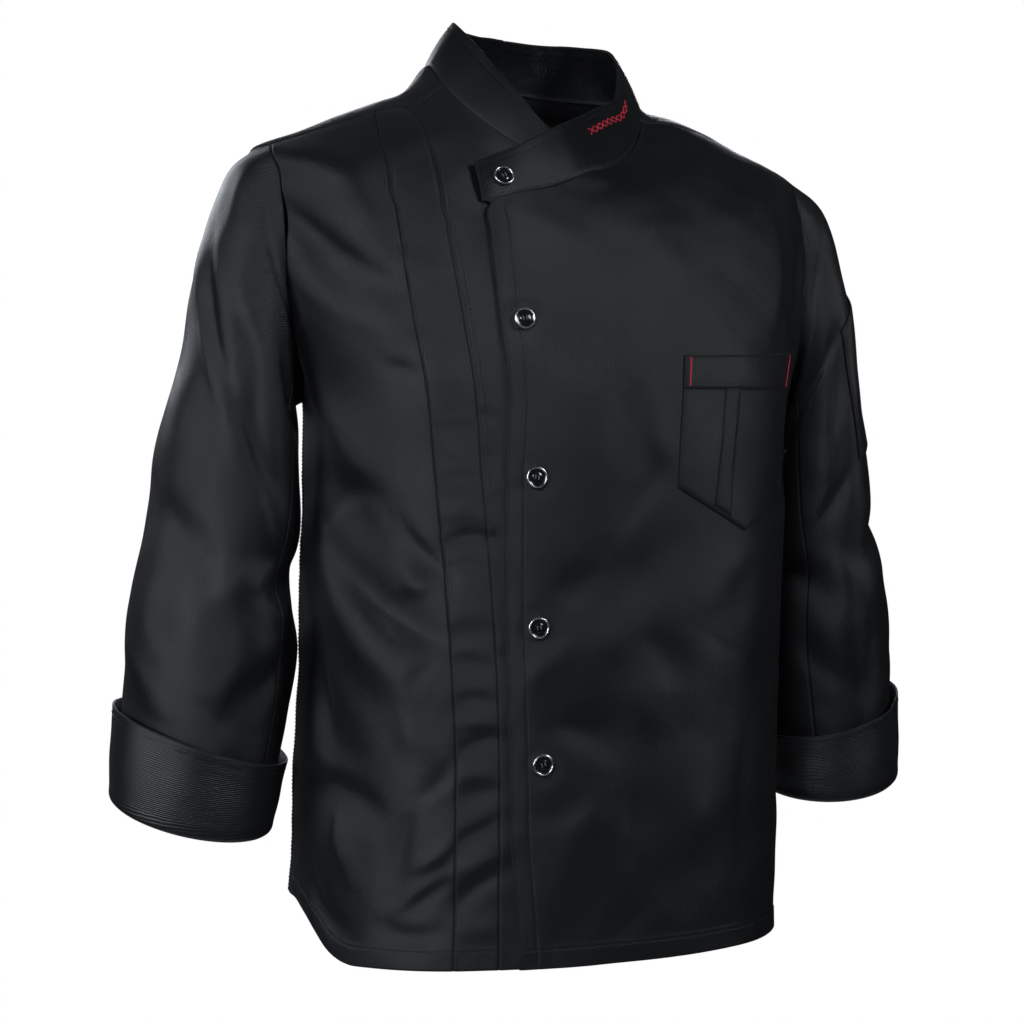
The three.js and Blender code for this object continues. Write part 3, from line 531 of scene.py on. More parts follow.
# Short puckers across the placket strip, each with its own reach.
PUCKERS = table("""
a1 b1 a2 b2 a3 b3 width depth
-43 -96 -38 -106 -32 -112 9 -1.5
-43 -140 -38 -146 -33 -158 8 -1.7
-42 -176 -37 -188 -33 -190 9 -1.4
-43 -212 -38 -217 -32 -226 7 -2.0
-44 -248 -40 -244 -33 -250 8 1.5
-43 -280 -38 -274 -31 -279 7 -2.4
-42 -297 -37 -301 -30 -309 6 -1.9
-42 -331 -36 -322 -30 -326 8 -2.6
-41 -350 -35 -346 -29 -350 9 2.0
-40 -373 -34 -365 -28 -370 7 -3.0
-39 -392 -34 -386 -28 -392 6 -2.0
-38 -431 -33 -424 -27 -430 10 1.7
-38 -462 -33 -461 -27 -470 8 -2.6
-37 -497 -32 -490 -26 -497 7 -2.8
-37 -509 -31 -507 -26 -512 5 1.9
-36 -530 -31 -521 -26 -520 8 -2.2
-36 -548 -31 -546 -26 -552 7 1.7
-36 -570 -31 -563 -26 -558 9 -2.8
-36 -598 -31 -590 -26 -582 8 -2.0
-37 -634 -31 -615 -25 -600 10 2.8
-36 -652 -31 -632 -25 -622 9 -2.6
-36 -668 -30 -662 -25 -664 8 1.5
-33 -270 -29 -276 -25 -274 6 -2.0
-32 -302 -28 -306 -25 -312 7 -2.4
-32 -334 -28 -336 -25 -330 6 -2.0
-31 -372 -28 -366 -25 -372 6 -1.9
-28 -452 -26 -456 -24 -452 5 -1.5
""")
NEAR_SLEEVE_CREASES = table("""
a1 b1 a2 b2 a3 b3 width depth
-14 0.16 26 0.28 56 0.36 9 3.8
56 0.36 84 0.44 120 0.53 9 3.8
14 0.17 34 0.26 64 0.34 10 -4.6
64 0.34 92 0.39 120 0.47 12 -4.6
32 0.17 52 0.21 78 0.25 9 -2.6
38 0.18 64 0.2 80 0.22 8 2.0
60 0.08 88 0.09 124 0.05 7 -2.4
86 0.27 92 0.33 92 0.4 16 2.6
60 0.57 68 0.62 82 0.68 12 -2.6
104 0.71 96 0.74 86 0.77 9 -2.8
128 0.53 108 0.56 88 0.57 9 -2.8
156 0.6 120 0.63 102 0.62 10 2.4
138 0.66 122 0.7 110 0.74 10 -2.4
-20 0.28 -16 0.38 -8 0.49 18 -2.0
8 0.64 28 0.7 42 0.77 16 2.2
22 0.06 28 0.1 30 0.16 14 2.0
60 0.77 80 0.79 98 0.81 8 -2.0
300 0.2 268 0.34 236 0.42 11 -3.8
310 0.28 280 0.42 246 0.52 13 3.2
330 0.5 290 0.54 250 0.58 9 -3.2
230 0.46 206 0.52 180 0.54 9 -3.4
236 0.62 210 0.6 186 0.58 10 2.6
320 0.66 296 0.72 280 0.8 13 -2.6
250 0.64 240 0.72 246 0.8 12 2.4
190 0.14 176 0.22 160 0.28 9 -3.0
""")
FAR_SLEEVE_CREASES = table("""
a1 b1 a2 b2 a3 b3 width depth
56 0.2 98 0.19 130 0.18 8 -3.6
74 0.43 98 0.47 120 0.51 9 -3.4
82 0.1 102 0.11 122 0.13 12 2.4
104 0.57 94 0.64 94 0.71 14 2.4
132 0.62 124 0.71 120 0.79 12 -2.6
72 0.31 88 0.36 102 0.42 12 2.0
32 0.08 64 0.08 88 0.07 8 -1.8
70 0.68 72 0.74 78 0.81 10 -2.0
-20 0.5 20 0.54 54 0.56 10 -3.0
-12 0.58 22 0.61 60 0.62 11 2.4
306 0.22 276 0.32 240 0.36 12 -3.6
314 0.3 286 0.4 256 0.46 14 3.0
324 0.52 290 0.53 254 0.56 9 -3.4
228 0.48 204 0.5 182 0.54 9 -3.2
318 0.68 300 0.74 286 0.8 12 -2.4
196 0.12 184 0.2 172 0.3 9 -2.8
30 0.66 40 0.72 40 0.8 13 2.2
""")
# Slow waves that no cloth is free of: their direction in the three axes (per metre), phase and height in mm.
WAVES = table("""
x y z phase height
61 17 44 0.3 0.34
-38 52 71 1.9 0.3
93 -31 -57 4.1 0.2
12 84 -102 2.7 0.17
-127 43 66 5.2 0.12
88 71 139 0.9 0.1
""")
BODY_CREASE_SHARE = 1.15
SLEEVE_CREASE_SHARE = 0.85
BODY_MAP = 3.7
SLEEVE_MAP = 1.25
COLLAR_MAP = 1.9


def curved_folds(folds, x_of, y):
    """Sum of depth * (0.3 + 0.7 sin(pi t)) * exp(-(d / width)^2): t and d are the way along the curve and the
    distance to it, and width is a little narrower on one side."""
    height = np.zeros(y.shape)
    t = np.linspace(0, 1, 13)[:, None]
    for i in range(len(folds["depth"])):
        x = x_of(folds["a2"][i])
        ends = [x_of(folds["a2"][i], folds[f"a{k}"][i]) for k in (1, 2, 3)]
        start, middle, end = (np.array([ends[k], folds[f"b{k + 1}"][i]]) for k in range(3))
        handle = 2 * middle - (start + end) / 2
        line = (1 - t) ** 2 * start + 2 * t * (1 - t) * handle + t * t * end
        width = folds["width"][i]
        low, high = line.min(0) - 3 * width, line.max(0) + 3 * width
        near = (x > low[0]) & (x < high[0]) & (y > low[1]) & (y < high[1])
        if not near.any():
            continue
        point = np.stack([x[near], y[near]], -1)[:, None]
        chord = line[1:] - line[:-1]
        from_start = point - line[:-1]
        share = np.clip((from_start * chord).sum(-1) / (chord**2).sum(-1), 0, 1)
        away = from_start - share[..., None] * chord
        distance = np.linalg.norm(away, axis=-1)
        k = distance.argmin(1)
        at = np.arange(k.size)
        way = (k + share[at, k]) / len(chord)
        side = np.sign(chord[k, 0] * away[at, k, 1] - chord[k, 1] * away[at, k, 0])
        own = width * (1 + 0.3 * side * ((i % 3) - 1))
        height[near] += folds["depth"][i] * (0.3 + 0.7 * np.sin(math.pi * way)) * bell(distance[at, k], own)
    return height


def waves(p):
    """Sum of height * sin(direction . place + phase), the place in metres."""
    directions = np.stack([WAVES[axis] for axis in "xyz"])
    turn = np.tensordot(p * MM, directions, 1) + WAVES["phase"]
    return (WAVES["height"] * np.sin(turn)).sum(-1)


def mean_ways(p):
    """Mean distance in mm from a grid's first row and from its first column to each of the others."""
    ways = []
    for axis in (0, 1):
        step = np.linalg.norm(np.diff(p, axis=axis), axis=-1).mean(1 - axis)
        ways.append(np.concatenate([[0], np.maximum(step, 1e-4).cumsum()]))
    return ways


def grid_normals(p):
    """Unit cross product of a grid's slopes along its rows and up its columns, whatever their spacing."""
    down, across = mean_ways(p)
    return unit(np.cross(np.gradient(p, across, axis=1), np.gradient(p, down, axis=0)))


def facing_out(normal, p, centre):
    """The normals, turned round where they point at the centre line on the whole."""
    return normal if (normal * (p - centre)).sum() > 0 else -normal


def body_creases(angle, p):
    """The body's creases, held flat near the buttons, each in a shallow ring."""

    def x_of(centre, other=None):
        return wrap((angle if other is None else other) - centre) * RING_MM_PER_DEGREE

    height = BODY_CREASE_SHARE * curved_folds(CREASES, x_of, p[..., 2])
    height = height + curved_folds(PUCKERS, x_of, p[..., 2]) + waves(p)
    for place in zip(BUTTONS["angle"], BUTTONS["level"]):
        away = np.linalg.norm(p - body_surface(*place), axis=-1)
        height = height * (1 - bell(away, 16)) - 0.9 * bell(away - 11, 4)
    return height


def drape(angle, level, out=0.0):
    """The body's cloth on a grid: its middle with creases, out mm further, its normals and its weave."""
    base = body_surface(angle, level)
    normal = facing_out(grid_normals(base), base, base.mean((0, 1)) * [0, 0, 1])
    height = body_creases(angle, base) + out
    return base + normal * height[..., None], normal, np.stack([angle * BODY_MAP, base[..., 2]], -1)


def sleeve_drape(angle, along, side, out=0.0):
    """The same for a sleeve's cloth. The creases fade at the armhole and under the cuff."""
    base = sleeve_surface(angle, along, side)
    axis = sleeve_form(np.arange(0, 360, 15.0)[:, None], along[:, 0][None], side).mean(0)[:, None]
    normal = facing_out(grid_normals(base), base, axis)
    rows = NEAR_SLEEVE_CREASES if side == RIGHT else FAR_SLEEVE_CREASES
    scaled = {k: v * SLEEVE_LENGTH if k[0] == "b" else v for k, v in rows.items()}

    def x_of(centre, other=None):
        return wrap((angle if other is None else other) - centre) * SLEEVE_MM_PER_DEGREE

    height = SLEEVE_CREASE_SHARE * curved_folds(scaled, x_of, along * SLEEVE_LENGTH) + waves(base)
    fade = smooth(along, 0, 0.08) * (1 - smooth(along, 0.8, 0.88))
    place = np.stack([-side * angle * SLEEVE_MAP, -along * SLEEVE_END_LENGTH], -1)
    return base + normal * (height * fade + out)[..., None], normal, place


# Panels: grids of cloth between two edges


EDGE_STEPS = np.array([0, 0.8, 1.7, 2.8, 3.9, 5.1, 6.4, 7.6, 9.2, 11.2])
HEM_STEPS = np.concatenate([EDGE_STEPS, [12.4, 13.3, 14.0, 14.7, 15.5, 16.5, 18.2]])
SPACING = 3.2
CLOTH = 1.7
THICK_CLOTH = 2.4
HEM_HEIGHT = 16.0
SEAM_BAND = 6.6
# Distances in mm of the stitch lines from the seam or edge that each follows.
SEAM_STITCHES = 1.6
BAND_STITCHES = SEAM_BAND - 0.6
HEM_STITCHES = HEM_HEIGHT - 2
EDGE_STITCHES = (2.4, 14.0)
COLLAR_STITCHES = 5.5
SEAM_INSET = 0.5
WIDTHS = {"back": 560, "side": 225, "strip": 40, "inner": 170, "left": 450, "top": 300, "under": 130}
LOWER_LENGTH = 436
SHOULDER_LENGTH = 150
SLEEVE_GRID_LENGTH = 400
ARMHOLE_ROWS = 64


def spread(width, fine_start=True, fine_end=True, spacing=SPACING, steps=EDGE_STEPS):
    """Shares from 0 to 1 across a width in mm: even steps, and finer ones beside a seam or an edge."""
    start = steps if fine_start else steps[:1]
    end = width - (EDGE_STEPS if fine_end else EDGE_STEPS[:1])[::-1]
    if start[-1] >= end[0] - 1:
        return np.linspace(0, 1, max(4, int(width / 1.6)))
    count = max(2, int(round((end[0] - start[-1]) / spacing)))
    middle = np.linspace(start[-1], end[0], count + 1)[1:-1]
    return np.concatenate([start, middle, end]) / width


def panel_rows(to_neck):
    """Levels to the underarm, degrees round the armhole and, for a panel to the neck, levels above."""
    lower = spread(LOWER_LENGTH, True, False, steps=HEM_STEPS) * UNDERARM_LEVEL
    share = np.linspace(0, 1, ARMHOLE_ROWS)
    rounds = 90 * share + 0.5 * np.arccos(1 - 2 * share) / RAD
    shoulder = np.zeros(0)
    if to_neck:
        shoulder = SHOULDER_LEVEL + (1 - SHOULDER_LEVEL) * spread(SHOULDER_LENGTH, False, True)[1:]
    return lower[:-1], rounds, shoulder


def side_line(side, front, to_neck):
    """Angle and level at the side seam, the armhole and the shoulder seam."""
    lower, rounds, shoulder = panel_rows(to_neck)
    angle, level = armhole(rounds, side, front)
    seam = mix(ARMHOLE["shoulder"], NECK_ANGLE, (shoulder - SHOULDER_LEVEL) / (1 - SHOULDER_LEVEL))
    angles = np.concatenate([np.full(lower.size, side * ARMHOLE["underarm"]), angle, side * seam])
    return angles, np.concatenate([lower, level, shoulder])


def seam_line(name, top):
    """Angle and level along one of the front's lines, whose part above the underarm climbs to top."""
    lower, rounds, _ = panel_rows(False)
    level = np.concatenate([lower, mix(UNDERARM_LEVEL, top, (1 - np.cos(rounds * RAD)) / 2)])
    return spline(FRONT_LINES["level"], FRONT_LINES[name], level), level


def between(start, end, shares):
    """Angle and level grids between two lines."""
    return tuple(mix(a[:, None], b[:, None], shares) for a, b in zip(start, end))


def ways_along(lines):
    """Distance in mm along each line to each of its points, which are the last axis but one."""
    step = np.linalg.norm(np.diff(lines, axis=-2), axis=-1)
    return np.concatenate([np.zeros((*step.shape[:-1], 1)), step.cumsum(-1)], -1)


def edge_distances(p):
    """Distance in mm along the grid from each point to the first and last column and row."""
    across = ways_along(p)
    up = ways_along(p.swapaxes(0, 1)).T
    return {"start": across, "end": across[:, -1:] - across, "bottom": up, "top": up[-1:] - up}


def seam_height(distance, felled):
    """A seam's valley, with the raised band of a felled seam and the dips of its two stitch lines."""
    height = -0.85 * bell(distance, 0.75)
    if felled:
        height += 0.14 * smooth(distance, 0.6, 2.0) * (1 - smooth(distance, SEAM_BAND, SEAM_BAND + 1.4))
        height -= 0.2 * bell(distance - BAND_STITCHES, 0.8) + 0.1 * bell(distance - SEAM_STITCHES, 0.7)
    return height


def pucker(distance, way, reach, size):
    """Small uneven waves beside a stitched line: size * sin of the way along, uneven, fading over the reach."""
    turn = way / 3.1 + 1.6 * np.sin(way / 23) + 1.1 * np.sin(way / 61 + 1)
    strength = 0.55 + 0.45 * np.sin(way / 37 + 0.6)
    return size * strength * np.sin(turn) * bell(distance, reach)


def sewn(p, normal, seams, hem):
    """Adds to a grid the seams along its edges, each "felled" or "plain", and the turned hem at its bottom."""
    far = edge_distances(p)
    height = np.zeros(p.shape[:2])
    for edge, kind in seams.items():
        way = far["bottom"] if edge in ("start", "end") else far["start"]
        height += seam_height(far[edge], kind == "felled")
        height += pucker(far[edge] - 5, way, 9, 0.16)
    if hem:
        from_edge = far["bottom"]
        height += 0.35 * (1 - smooth(from_edge, HEM_HEIGHT - 1, HEM_HEIGHT + 0.8))
        height -= 0.5 * bell(from_edge - HEM_STITCHES, 0.9)
        height += pucker(from_edge - 12, far["start"], 10, 0.28)
    return p + normal * height[..., None]


def inset(p, edges):
    """Draws a grid's edge lines inwards along the grid, which leaves the seam's gap."""
    lines = {"start": np.s_[:, 0], "end": np.s_[:, -1], "bottom": np.s_[0], "top": np.s_[-1]}
    beside = {"start": np.s_[:, 1], "end": np.s_[:, -2], "bottom": np.s_[1], "top": np.s_[-2]}
    p = p.copy()
    for edge in edges:
        p[lines[edge]] += unit(p[beside[edge]] - p[lines[edge]]) * SEAM_INSET
    return p


def panel(cloth, seams, hem=True):
    """A draped cloth with its seams sewn and drawn in, and its hem turned."""
    p, normal, place = cloth
    return inset(sewn(p, normal, seams, hem), seams), normal, place


# Meshes


def rim_directions(p, normal):
    """For the points round a grid's border, in order: their index and the way outwards in the cloth."""
    rows, columns = p.shape[:2]
    outward = np.zeros_like(p)
    outward[0] += unit(p[0] - p[1])
    outward[-1] += unit(p[-1] - p[-2])
    outward[:, 0] += unit(p[:, 0] - p[:, 1])
    outward[:, -1] += unit(p[:, -1] - p[:, -2])
    outward = unit(outward - (outward * normal).sum(-1, keepdims=True) * normal)
    index = np.arange(rows * columns).reshape(rows, columns)
    loop = np.concatenate([index[0, :-1], index[:-1, -1], index[-1, :0:-1], index[:0:-1, 0]])
    return loop, outward.reshape(-1, 3)[loop]


def make_mesh(name, vertices, faces, materials, face_material=None, uv=None, values=None):
    """A smooth mesh in metres from mm, with its UV map and its point values."""
    mesh = bpy.data.meshes.new(name)
    mesh.from_pydata((vertices * MM).tolist(), [], faces)
    mesh.polygons.foreach_set("use_smooth", np.ones(len(mesh.polygons), bool))
    if uv is not None:
        corner = np.empty(len(mesh.loops), np.int32)
        mesh.loops.foreach_get("vertex_index", corner)
        mesh.uv_layers.new(name="cloth").data.foreach_set("uv", (uv[corner] * MM).astype(np.float32).ravel())
    for key, value in (values or {}).items():
        mesh.attributes.new(key, "FLOAT", "POINT").data.foreach_set("value", value.astype(np.float32))
    for material in materials:
        mesh.materials.append(material)
    if face_material is not None:
        mesh.polygons.foreach_set("material_index", np.asarray(face_material, np.int32))
    mesh.update()
    piece = bpy.data.objects.new(name, mesh)
    bpy.context.scene.collection.objects.link(piece)
    return piece


def worn_piece(*args, **more):
    """A mesh that rides on the jacket's one body."""
    piece = make_mesh(*args, **more)
    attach(piece, "root")
    return piece


def cloth_size(p):
    """Width, length and area of a grid in metres: its longest row, its longest column and its quads' area."""
    across = np.linalg.norm(np.diff(p, axis=1), axis=-1).sum(1).max()
    along = np.linalg.norm(np.diff(p, axis=0), axis=-1).sum(0).max()
    area = np.linalg.norm(np.cross(p[1:, 1:] - p[:-1, :-1], p[1:, :-1] - p[:-1, 1:]), axis=-1).sum() / 2
    return across * MM, along * MM, area * MM * MM


def shell(name, p, normal, place, thickness, material, node, held="hung", rests_on=()):
    """A closed cloth: the grid moved half its thickness out and in, and half-round edges of three steps between.

    Every cloth rides on the one body and replaces its node.
    """
    rows, columns = p.shape[:2]
    count = rows * columns
    half = np.broadcast_to(np.asarray(thickness) / 2, (rows, columns)).reshape(-1, 1)
    points, ways = p.reshape(-1, 3), normal.reshape(-1, 3)
    loop, outward = rim_directions(p, normal)
    rims = []
    for degrees in (45, 90, 135):
        way = ways[loop] * math.cos(degrees * RAD) + outward * math.sin(degrees * RAD)
        rims.append(points[loop] + way * half[loop])
    vertices = np.concatenate([points + ways * half, points - ways * half, *rims])
    index = np.arange(count).reshape(rows, columns)
    quads = np.stack([index[:-1, :-1], index[:-1, 1:], index[1:, 1:], index[1:, :-1]], -1).reshape(-1, 4)
    rings = [loop] + [2 * count + k * loop.size + np.arange(loop.size) for k in range(3)] + [loop + count]
    strips = [np.stack([r, s, np.roll(s, -1), np.roll(r, -1)], -1) for r, s in zip(rings[:-1], rings[1:])]
    faces = np.concatenate([quads, quads[:, ::-1] + count, *strips])
    front = np.cross(p[1:, 1:] - p[:-1, :-1], p[1:, :-1] - p[:-1, 1:])
    if (front * normal[1:, 1:]).sum() < 0:
        faces = faces[:, ::-1]
    uv = place.reshape(-1, 2)
    uv = np.concatenate([uv, uv, *[uv[loop]] * 3])
    edge = np.minimum.reduce(list(edge_distances(p).values())).ravel()
    edge = np.concatenate([edge, edge, np.zeros(3 * loop.size)])
    piece = worn_piece(name, vertices, faces.tolist(), [material], uv=uv, values={"edge": edge})
    width, length, area = cloth_size(p)
    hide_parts(node)
    list(rests_on)
    return piece


def line_at(cloth, edge, distance):
    """Points and normals on the cloth's outside, at a distance in mm from one of its edges."""
    p, normal, _, thickness = cloth
    half = (np.zeros(p.shape[:2]) + thickness)[..., None] / 2
    both = np.concatenate([p + normal * half, normal], -1)
    if edge in ("bottom", "top"):
        both = both.transpose(1, 0, 2)
    if edge in ("end", "top"):
        both = both[:, ::-1]
    far = ways_along(both[..., :3])
    k = np.clip((far < distance).sum(1) - 1, 0, far.shape[1] - 2)
    at = np.arange(len(both))
    share = np.clip((distance - far[at, k]) / np.maximum(far[at, k + 1] - far[at, k], 1e-6), 0, 1)
    line = mix(both[at, k], both[at, k + 1], share[:, None])
    return line[:, :3], unit(line[:, 3:])


def cut_line(points, normals, start, end):
    """A line without its first and last so many mm."""
    way = ways_along(points)
    keep = (way >= start) & (way <= way[-1] - end)
    return points[keep], normals[keep]


def sample_line(points, normals, ways):
    """The line's places and normals at distances along it."""
    length = ways_along(points)
    place, normal = (
        np.stack([np.interp(ways, length, part[:, k]) for k in range(3)], -1) for part in (points, normals)
    )
    return place, unit(normal)


def tubes(centres, normals, radii, sides):
    """Vertices and faces of many short tubes at once: centres is tubes x steps x 3, radii one for each step."""
    count, steps = centres.shape[:2]
    across = unit(np.cross(unit(np.gradient(centres, axis=1)), normals))
    up = np.cross(across, unit(np.gradient(centres, axis=1)))
    turn = np.arange(sides)[:, None] * 2 * math.pi / sides
    ring = across[:, :, None] * np.cos(turn) + up[:, :, None] * np.sin(turn)
    vertices = centres[:, :, None] + ring * np.asarray(radii)[:, None, None]
    index = np.arange(count * steps * sides).reshape(count, steps, sides)
    a, b = index[:, :-1], index[:, 1:]
    quads = np.stack([a, np.roll(a, -1, 2), np.roll(b, -1, 2), b], -1).reshape(-1, 4)
    caps = np.concatenate([index[:, 0, ::-1], index[:, -1]])
    return vertices.reshape(-1, 3), quads.tolist() + caps.tolist()


STITCH_STEPS = np.linspace(0, 1, 5)
STITCH_TAPER = np.array([0.45, 0.95, 1, 0.95, 0.45])


def stitch_row(lines, pitch, length, radius):
    """Centres and normals of the stitches along some lines: each rises by its radius and dips at its ends."""
    height = radius * (1.1 * np.sin(math.pi * STITCH_STEPS) - 0.45)
    centres, ups = [], []
    for line in lines:
        total = ways_along(line[0])[-1]
        count = int(total // pitch)
        starts = (np.arange(count) + 0.5) * total / max(count, 1) - length / 2
        ways = starts[:, None] + STITCH_STEPS * length
        place, normal = (part.reshape(count, -1, 3) for part in sample_line(*line, ways.ravel()))
        centres.append(place + normal * height[:, None])
        ups.append(normal)
    return np.concatenate(centres), np.concatenate(ups)


def sew(name, lines, material, pitch, length, radius):
    """One piece with all the stitches of some lines."""
    centres, ups = stitch_row(lines, pitch, length, radius)
    return worn_piece(name, *tubes(centres, ups, radius * STITCH_TAPER, 4), [material])


# Cloths of the body


def with_hem(p):
    """Thickness over a grid: the turned hem at its bottom is double."""
    far = edge_distances(p)["bottom"]
    return CLOTH + (THICK_CLOTH - CLOTH) * (1 - smooth(far, HEM_HEIGHT - 1, HEM_HEIGHT + 0.6))


def back_grid():
    """The back between its two side seams, armholes and shoulder seams."""
    start = side_line(LEFT, False, True)
    angle, level = side_line(RIGHT, False, True)
    lines = between(start, (angle + 360, level), spread(WIDTHS["back"], spacing=4.2))
    return panel(drape(*lines), {"start": "felled", "end": "felled", "top": "plain"})


def side_grid():
    """The right front from its side seam to the placket strip."""
    outer = seam_line("strip_outer", STRIP_OUTER_TOP)
    lines = between(side_line(RIGHT, True, False), outer, spread(WIDTHS["side"]))
    return panel(drape(*lines), {"start": "plain", "end": "plain", "top": "plain"})


def strip_grid():
    """The placket strip between its two seams."""
    outer, inner = seam_line("strip_outer", STRIP_OUTER_TOP), seam_line("strip_inner", STRIP_INNER_TOP)
    lines = between(outer, inner, spread(WIDTHS["strip"], spacing=2.2))
    return panel(drape(*lines), {"start": "felled", "end": "plain", "top": "plain"})


def inner_grid():
    """The right front's inner side, which runs on under the left front and fans out to the neck."""
    lower, rounds, _ = panel_rows(False)
    angle, level = seam_line("strip_inner", STRIP_INNER_TOP)
    neck = np.linspace(0, 1, 9)[1:]
    neck_level = mix(STRIP_INNER_TOP, 1, neck)
    seam = mix(ARMHOLE["shoulder"], NECK_ANGLE, (neck_level - SHOULDER_LEVEL) / (1 - SHOULDER_LEVEL))
    angle, level = np.concatenate([angle, -seam]), np.concatenate([level, neck_level])
    row = np.concatenate([lower / UNDERARM_LEVEL * 18, 18 + rounds / 18, 28 + 3 * neck]) / 31
    end_level = np.where(row < 18 / 31 - 1e-9, level, mix(level, 1, smooth(row, 0.6, 1)))
    end = (np.full(level.size, float(UNDERLAP_ANGLE)), end_level)
    return panel(drape(*between((angle, level), end, spread(WIDTHS["inner"]))), {"start": "felled"})


def left_front_grid():
    """The left front, from its free edge to the side seam and shoulder; its top is the neckline."""
    end_angle, end_level = side_line(LEFT, True, True)
    share = np.clip((end_level - UNDERARM_LEVEL) / (1 - UNDERARM_LEVEL), 0, 1)
    level = np.where(share > 0, mix(UNDERARM_LEVEL, LEFT_NECKLINE["level"][0], share), end_level)
    angle = np.interp(level, FRONT_LINES["level"], FRONT_LINES["left_edge"])
    angle = angle + (LEFT_NECKLINE["angle"][0] - angle[-1]) * np.interp(share, [0.953, 1], [0, 1])
    columns = spread(WIDTHS["left"], spacing=3.6, steps=HEM_STEPS)
    angle, level = between((angle, level), (end_angle, end_level), columns)
    top = np.interp(angle, LEFT_NECKLINE["angle"], LEFT_NECKLINE["level"])
    neck = mix(UNDERARM_LEVEL, top, share[:, None])
    level = np.where(share[:, None] > 0, neck, level)
    p, normal, place = drape(angle, level, lift(angle))
    seams = {"end": "plain", "top": "plain"}
    p = sewn(p, normal, seams, True)
    near, wide = EDGE_STITCHES
    far = edge_distances(p)
    height = -0.4 * bell(far["start"] - wide, 0.9) - 0.2 * bell(far["start"] - near, 1.0)
    p = p + normal * height[..., None]
    far = edge_distances(p) | {"start": far["start"]}
    p = p + normal * pucker(far["start"] - 12, far["bottom"], 8, 0.16)[..., None]
    return inset(p, seams), normal, place


def sleeve_grid(side, start, end, width):
    """A piece of a sleeve between two of its angles."""
    along = spread(SLEEVE_GRID_LENGTH, True, False, 2.8)[:, None]
    angle, along = np.broadcast_arrays(mix(start, end, spread(width, spacing=3.3)), along)
    first = "felled" if start < 0 else "plain"
    return panel(sleeve_drape(angle, along, side), {"start": first, "end": "plain", "bottom": "plain"}, False)


# The cuff's profile round its fold: way in mm, out and down in mm, and share of the cuff's height.
CUFF_PROFILE = table("""
way out down share
0 0.0 0.0 0
3.6 0.6 3.6 0
7.0 3.25 5.6 0
10.2 5.8 3.6 0
15.0 6.1 0.0 0.08
33.0 6.9 0.0 0.38
51.0 6.5 0.0 0.7
68.0 7.4 0.0 1.0
""")
CUFF_WAVES = table("""
angle width size
20 14 1.0
48 9 -0.8
66 10 0.9
88 8 -1.1
112 12 1.0
140 10 -0.7
196 16 0.9
250 12 -0.9
290 14 1.0
330 11 -0.7
""")


def swells(rows, angle):
    """Sum of size * exp(-((angle - centre) / width)^2) over the rows."""
    away = wrap(np.asarray(angle)[..., None] - rows["angle"])
    return (rows["size"] * bell(away, rows["width"])).sum(-1)


def cuff_grid(side):
    """The turned-back cuff from the sleeve's end round its fold and up outside, joined at the back seam."""
    way = np.concatenate([np.linspace(0, 12, 13), np.linspace(12, 68, 27)[1:]])[:, None]
    angle = np.linspace(SLEEVE_SEAM_BACK, SLEEVE_SEAM_BACK + 360, 150)
    angle, way = np.broadcast_arrays(angle, way)
    out, fold, share = (
        spline(CUFF_PROFILE["way"], CUFF_PROFILE[name], way) for name in ("out", "down", "share")
    )
    share = np.clip(share, 0, 1)
    height = CUFF_HEIGHT + CUFF_HIGHER * np.cos(angle * RAD)
    along = 1 - share * height / SLEEVE_END_LENGTH

    def sleeve(a, t):
        return sleeve_form(a, t, side)

    down = unit(sleeve(angle, np.ones(angle.shape)) - sleeve(angle, np.full(angle.shape, 0.97)))
    outward = normal_of(sleeve, angle, along, 1.5, 0.01, side)
    out = out + swells(CUFF_WAVES, angle) * smooth(share, 0.1, 1.0) - 0.3 * bell((1 - share) * height - 6, 1.5)
    p = sleeve(angle, along) + outward * out[..., None] + down * (np.maximum(fold, 0) + 0.3)[..., None]
    normal = grid_normals(p)
    normal = normal if (normal[-1] * outward[-1]).sum() > 0 else -normal
    return inset(p, ("start", "end")), normal, np.stack([-side * angle * SLEEVE_MAP, way], -1)


def collar_top(rows, angle):
    """The collar's top edge at an angle."""
    order = -1 if rows["angle"][0] > rows["angle"][1] else 1
    return np.stack([spline(order * rows["angle"], rows[axis], order * angle) for axis in "xyz"], -1)


COLLAR_HEIGHT = 38
COLLAR_WAVES = table("""
angle width size
-168 5 1.0
-156 4 -0.9
-140 6 0.8
-118 6 -0.7
-60 9 -0.8
-36 7 0.7
22 9 0.5
48 8 -0.6
76 7 0.5
104 6 -0.6
134 7 0.7
160 6 -0.6
""")


def collar_grid(rows, start, end, left):
    """A stand of cloth from the neck seam to its top edge, swelling a little between them."""
    count = int(abs(end - start) * COLLAR_MAP / 2.4)
    angle = np.linspace(start, end, count)
    t = spread(COLLAR_HEIGHT, spacing=2.4)[:, None]
    level = np.interp(angle, LEFT_NECKLINE["angle"], LEFT_NECKLINE["level"]) if left else np.ones(count)
    out = np.where(angle <= NECK_ANGLE, lift(angle), 0) if left else np.zeros(count)
    base = body_surface(angle, level) + body_normal(angle, level) * out[:, None]
    rise = mix(base, collar_top(rows, angle), t[..., None])
    normal = facing_out(grid_normals(rise), rise, np.array([0, -10, 0]) + [0, 0, 1] * rise)
    height = 1.6 * np.sin(math.pi * t) + swells(COLLAR_WAVES, angle) * smooth(t, 0, 0.7)
    height = height - 0.9 * bell(t * COLLAR_HEIGHT, 1.6)
    height = height - 0.25 * bell((1 - t) * COLLAR_HEIGHT - COLLAR_STITCHES, 1.1)
    place = np.stack(np.broadcast_arrays(angle * COLLAR_MAP, t * COLLAR_HEIGHT), -1)
    return inset(rise + normal * height[..., None], ("bottom",)), normal, place


# Patches


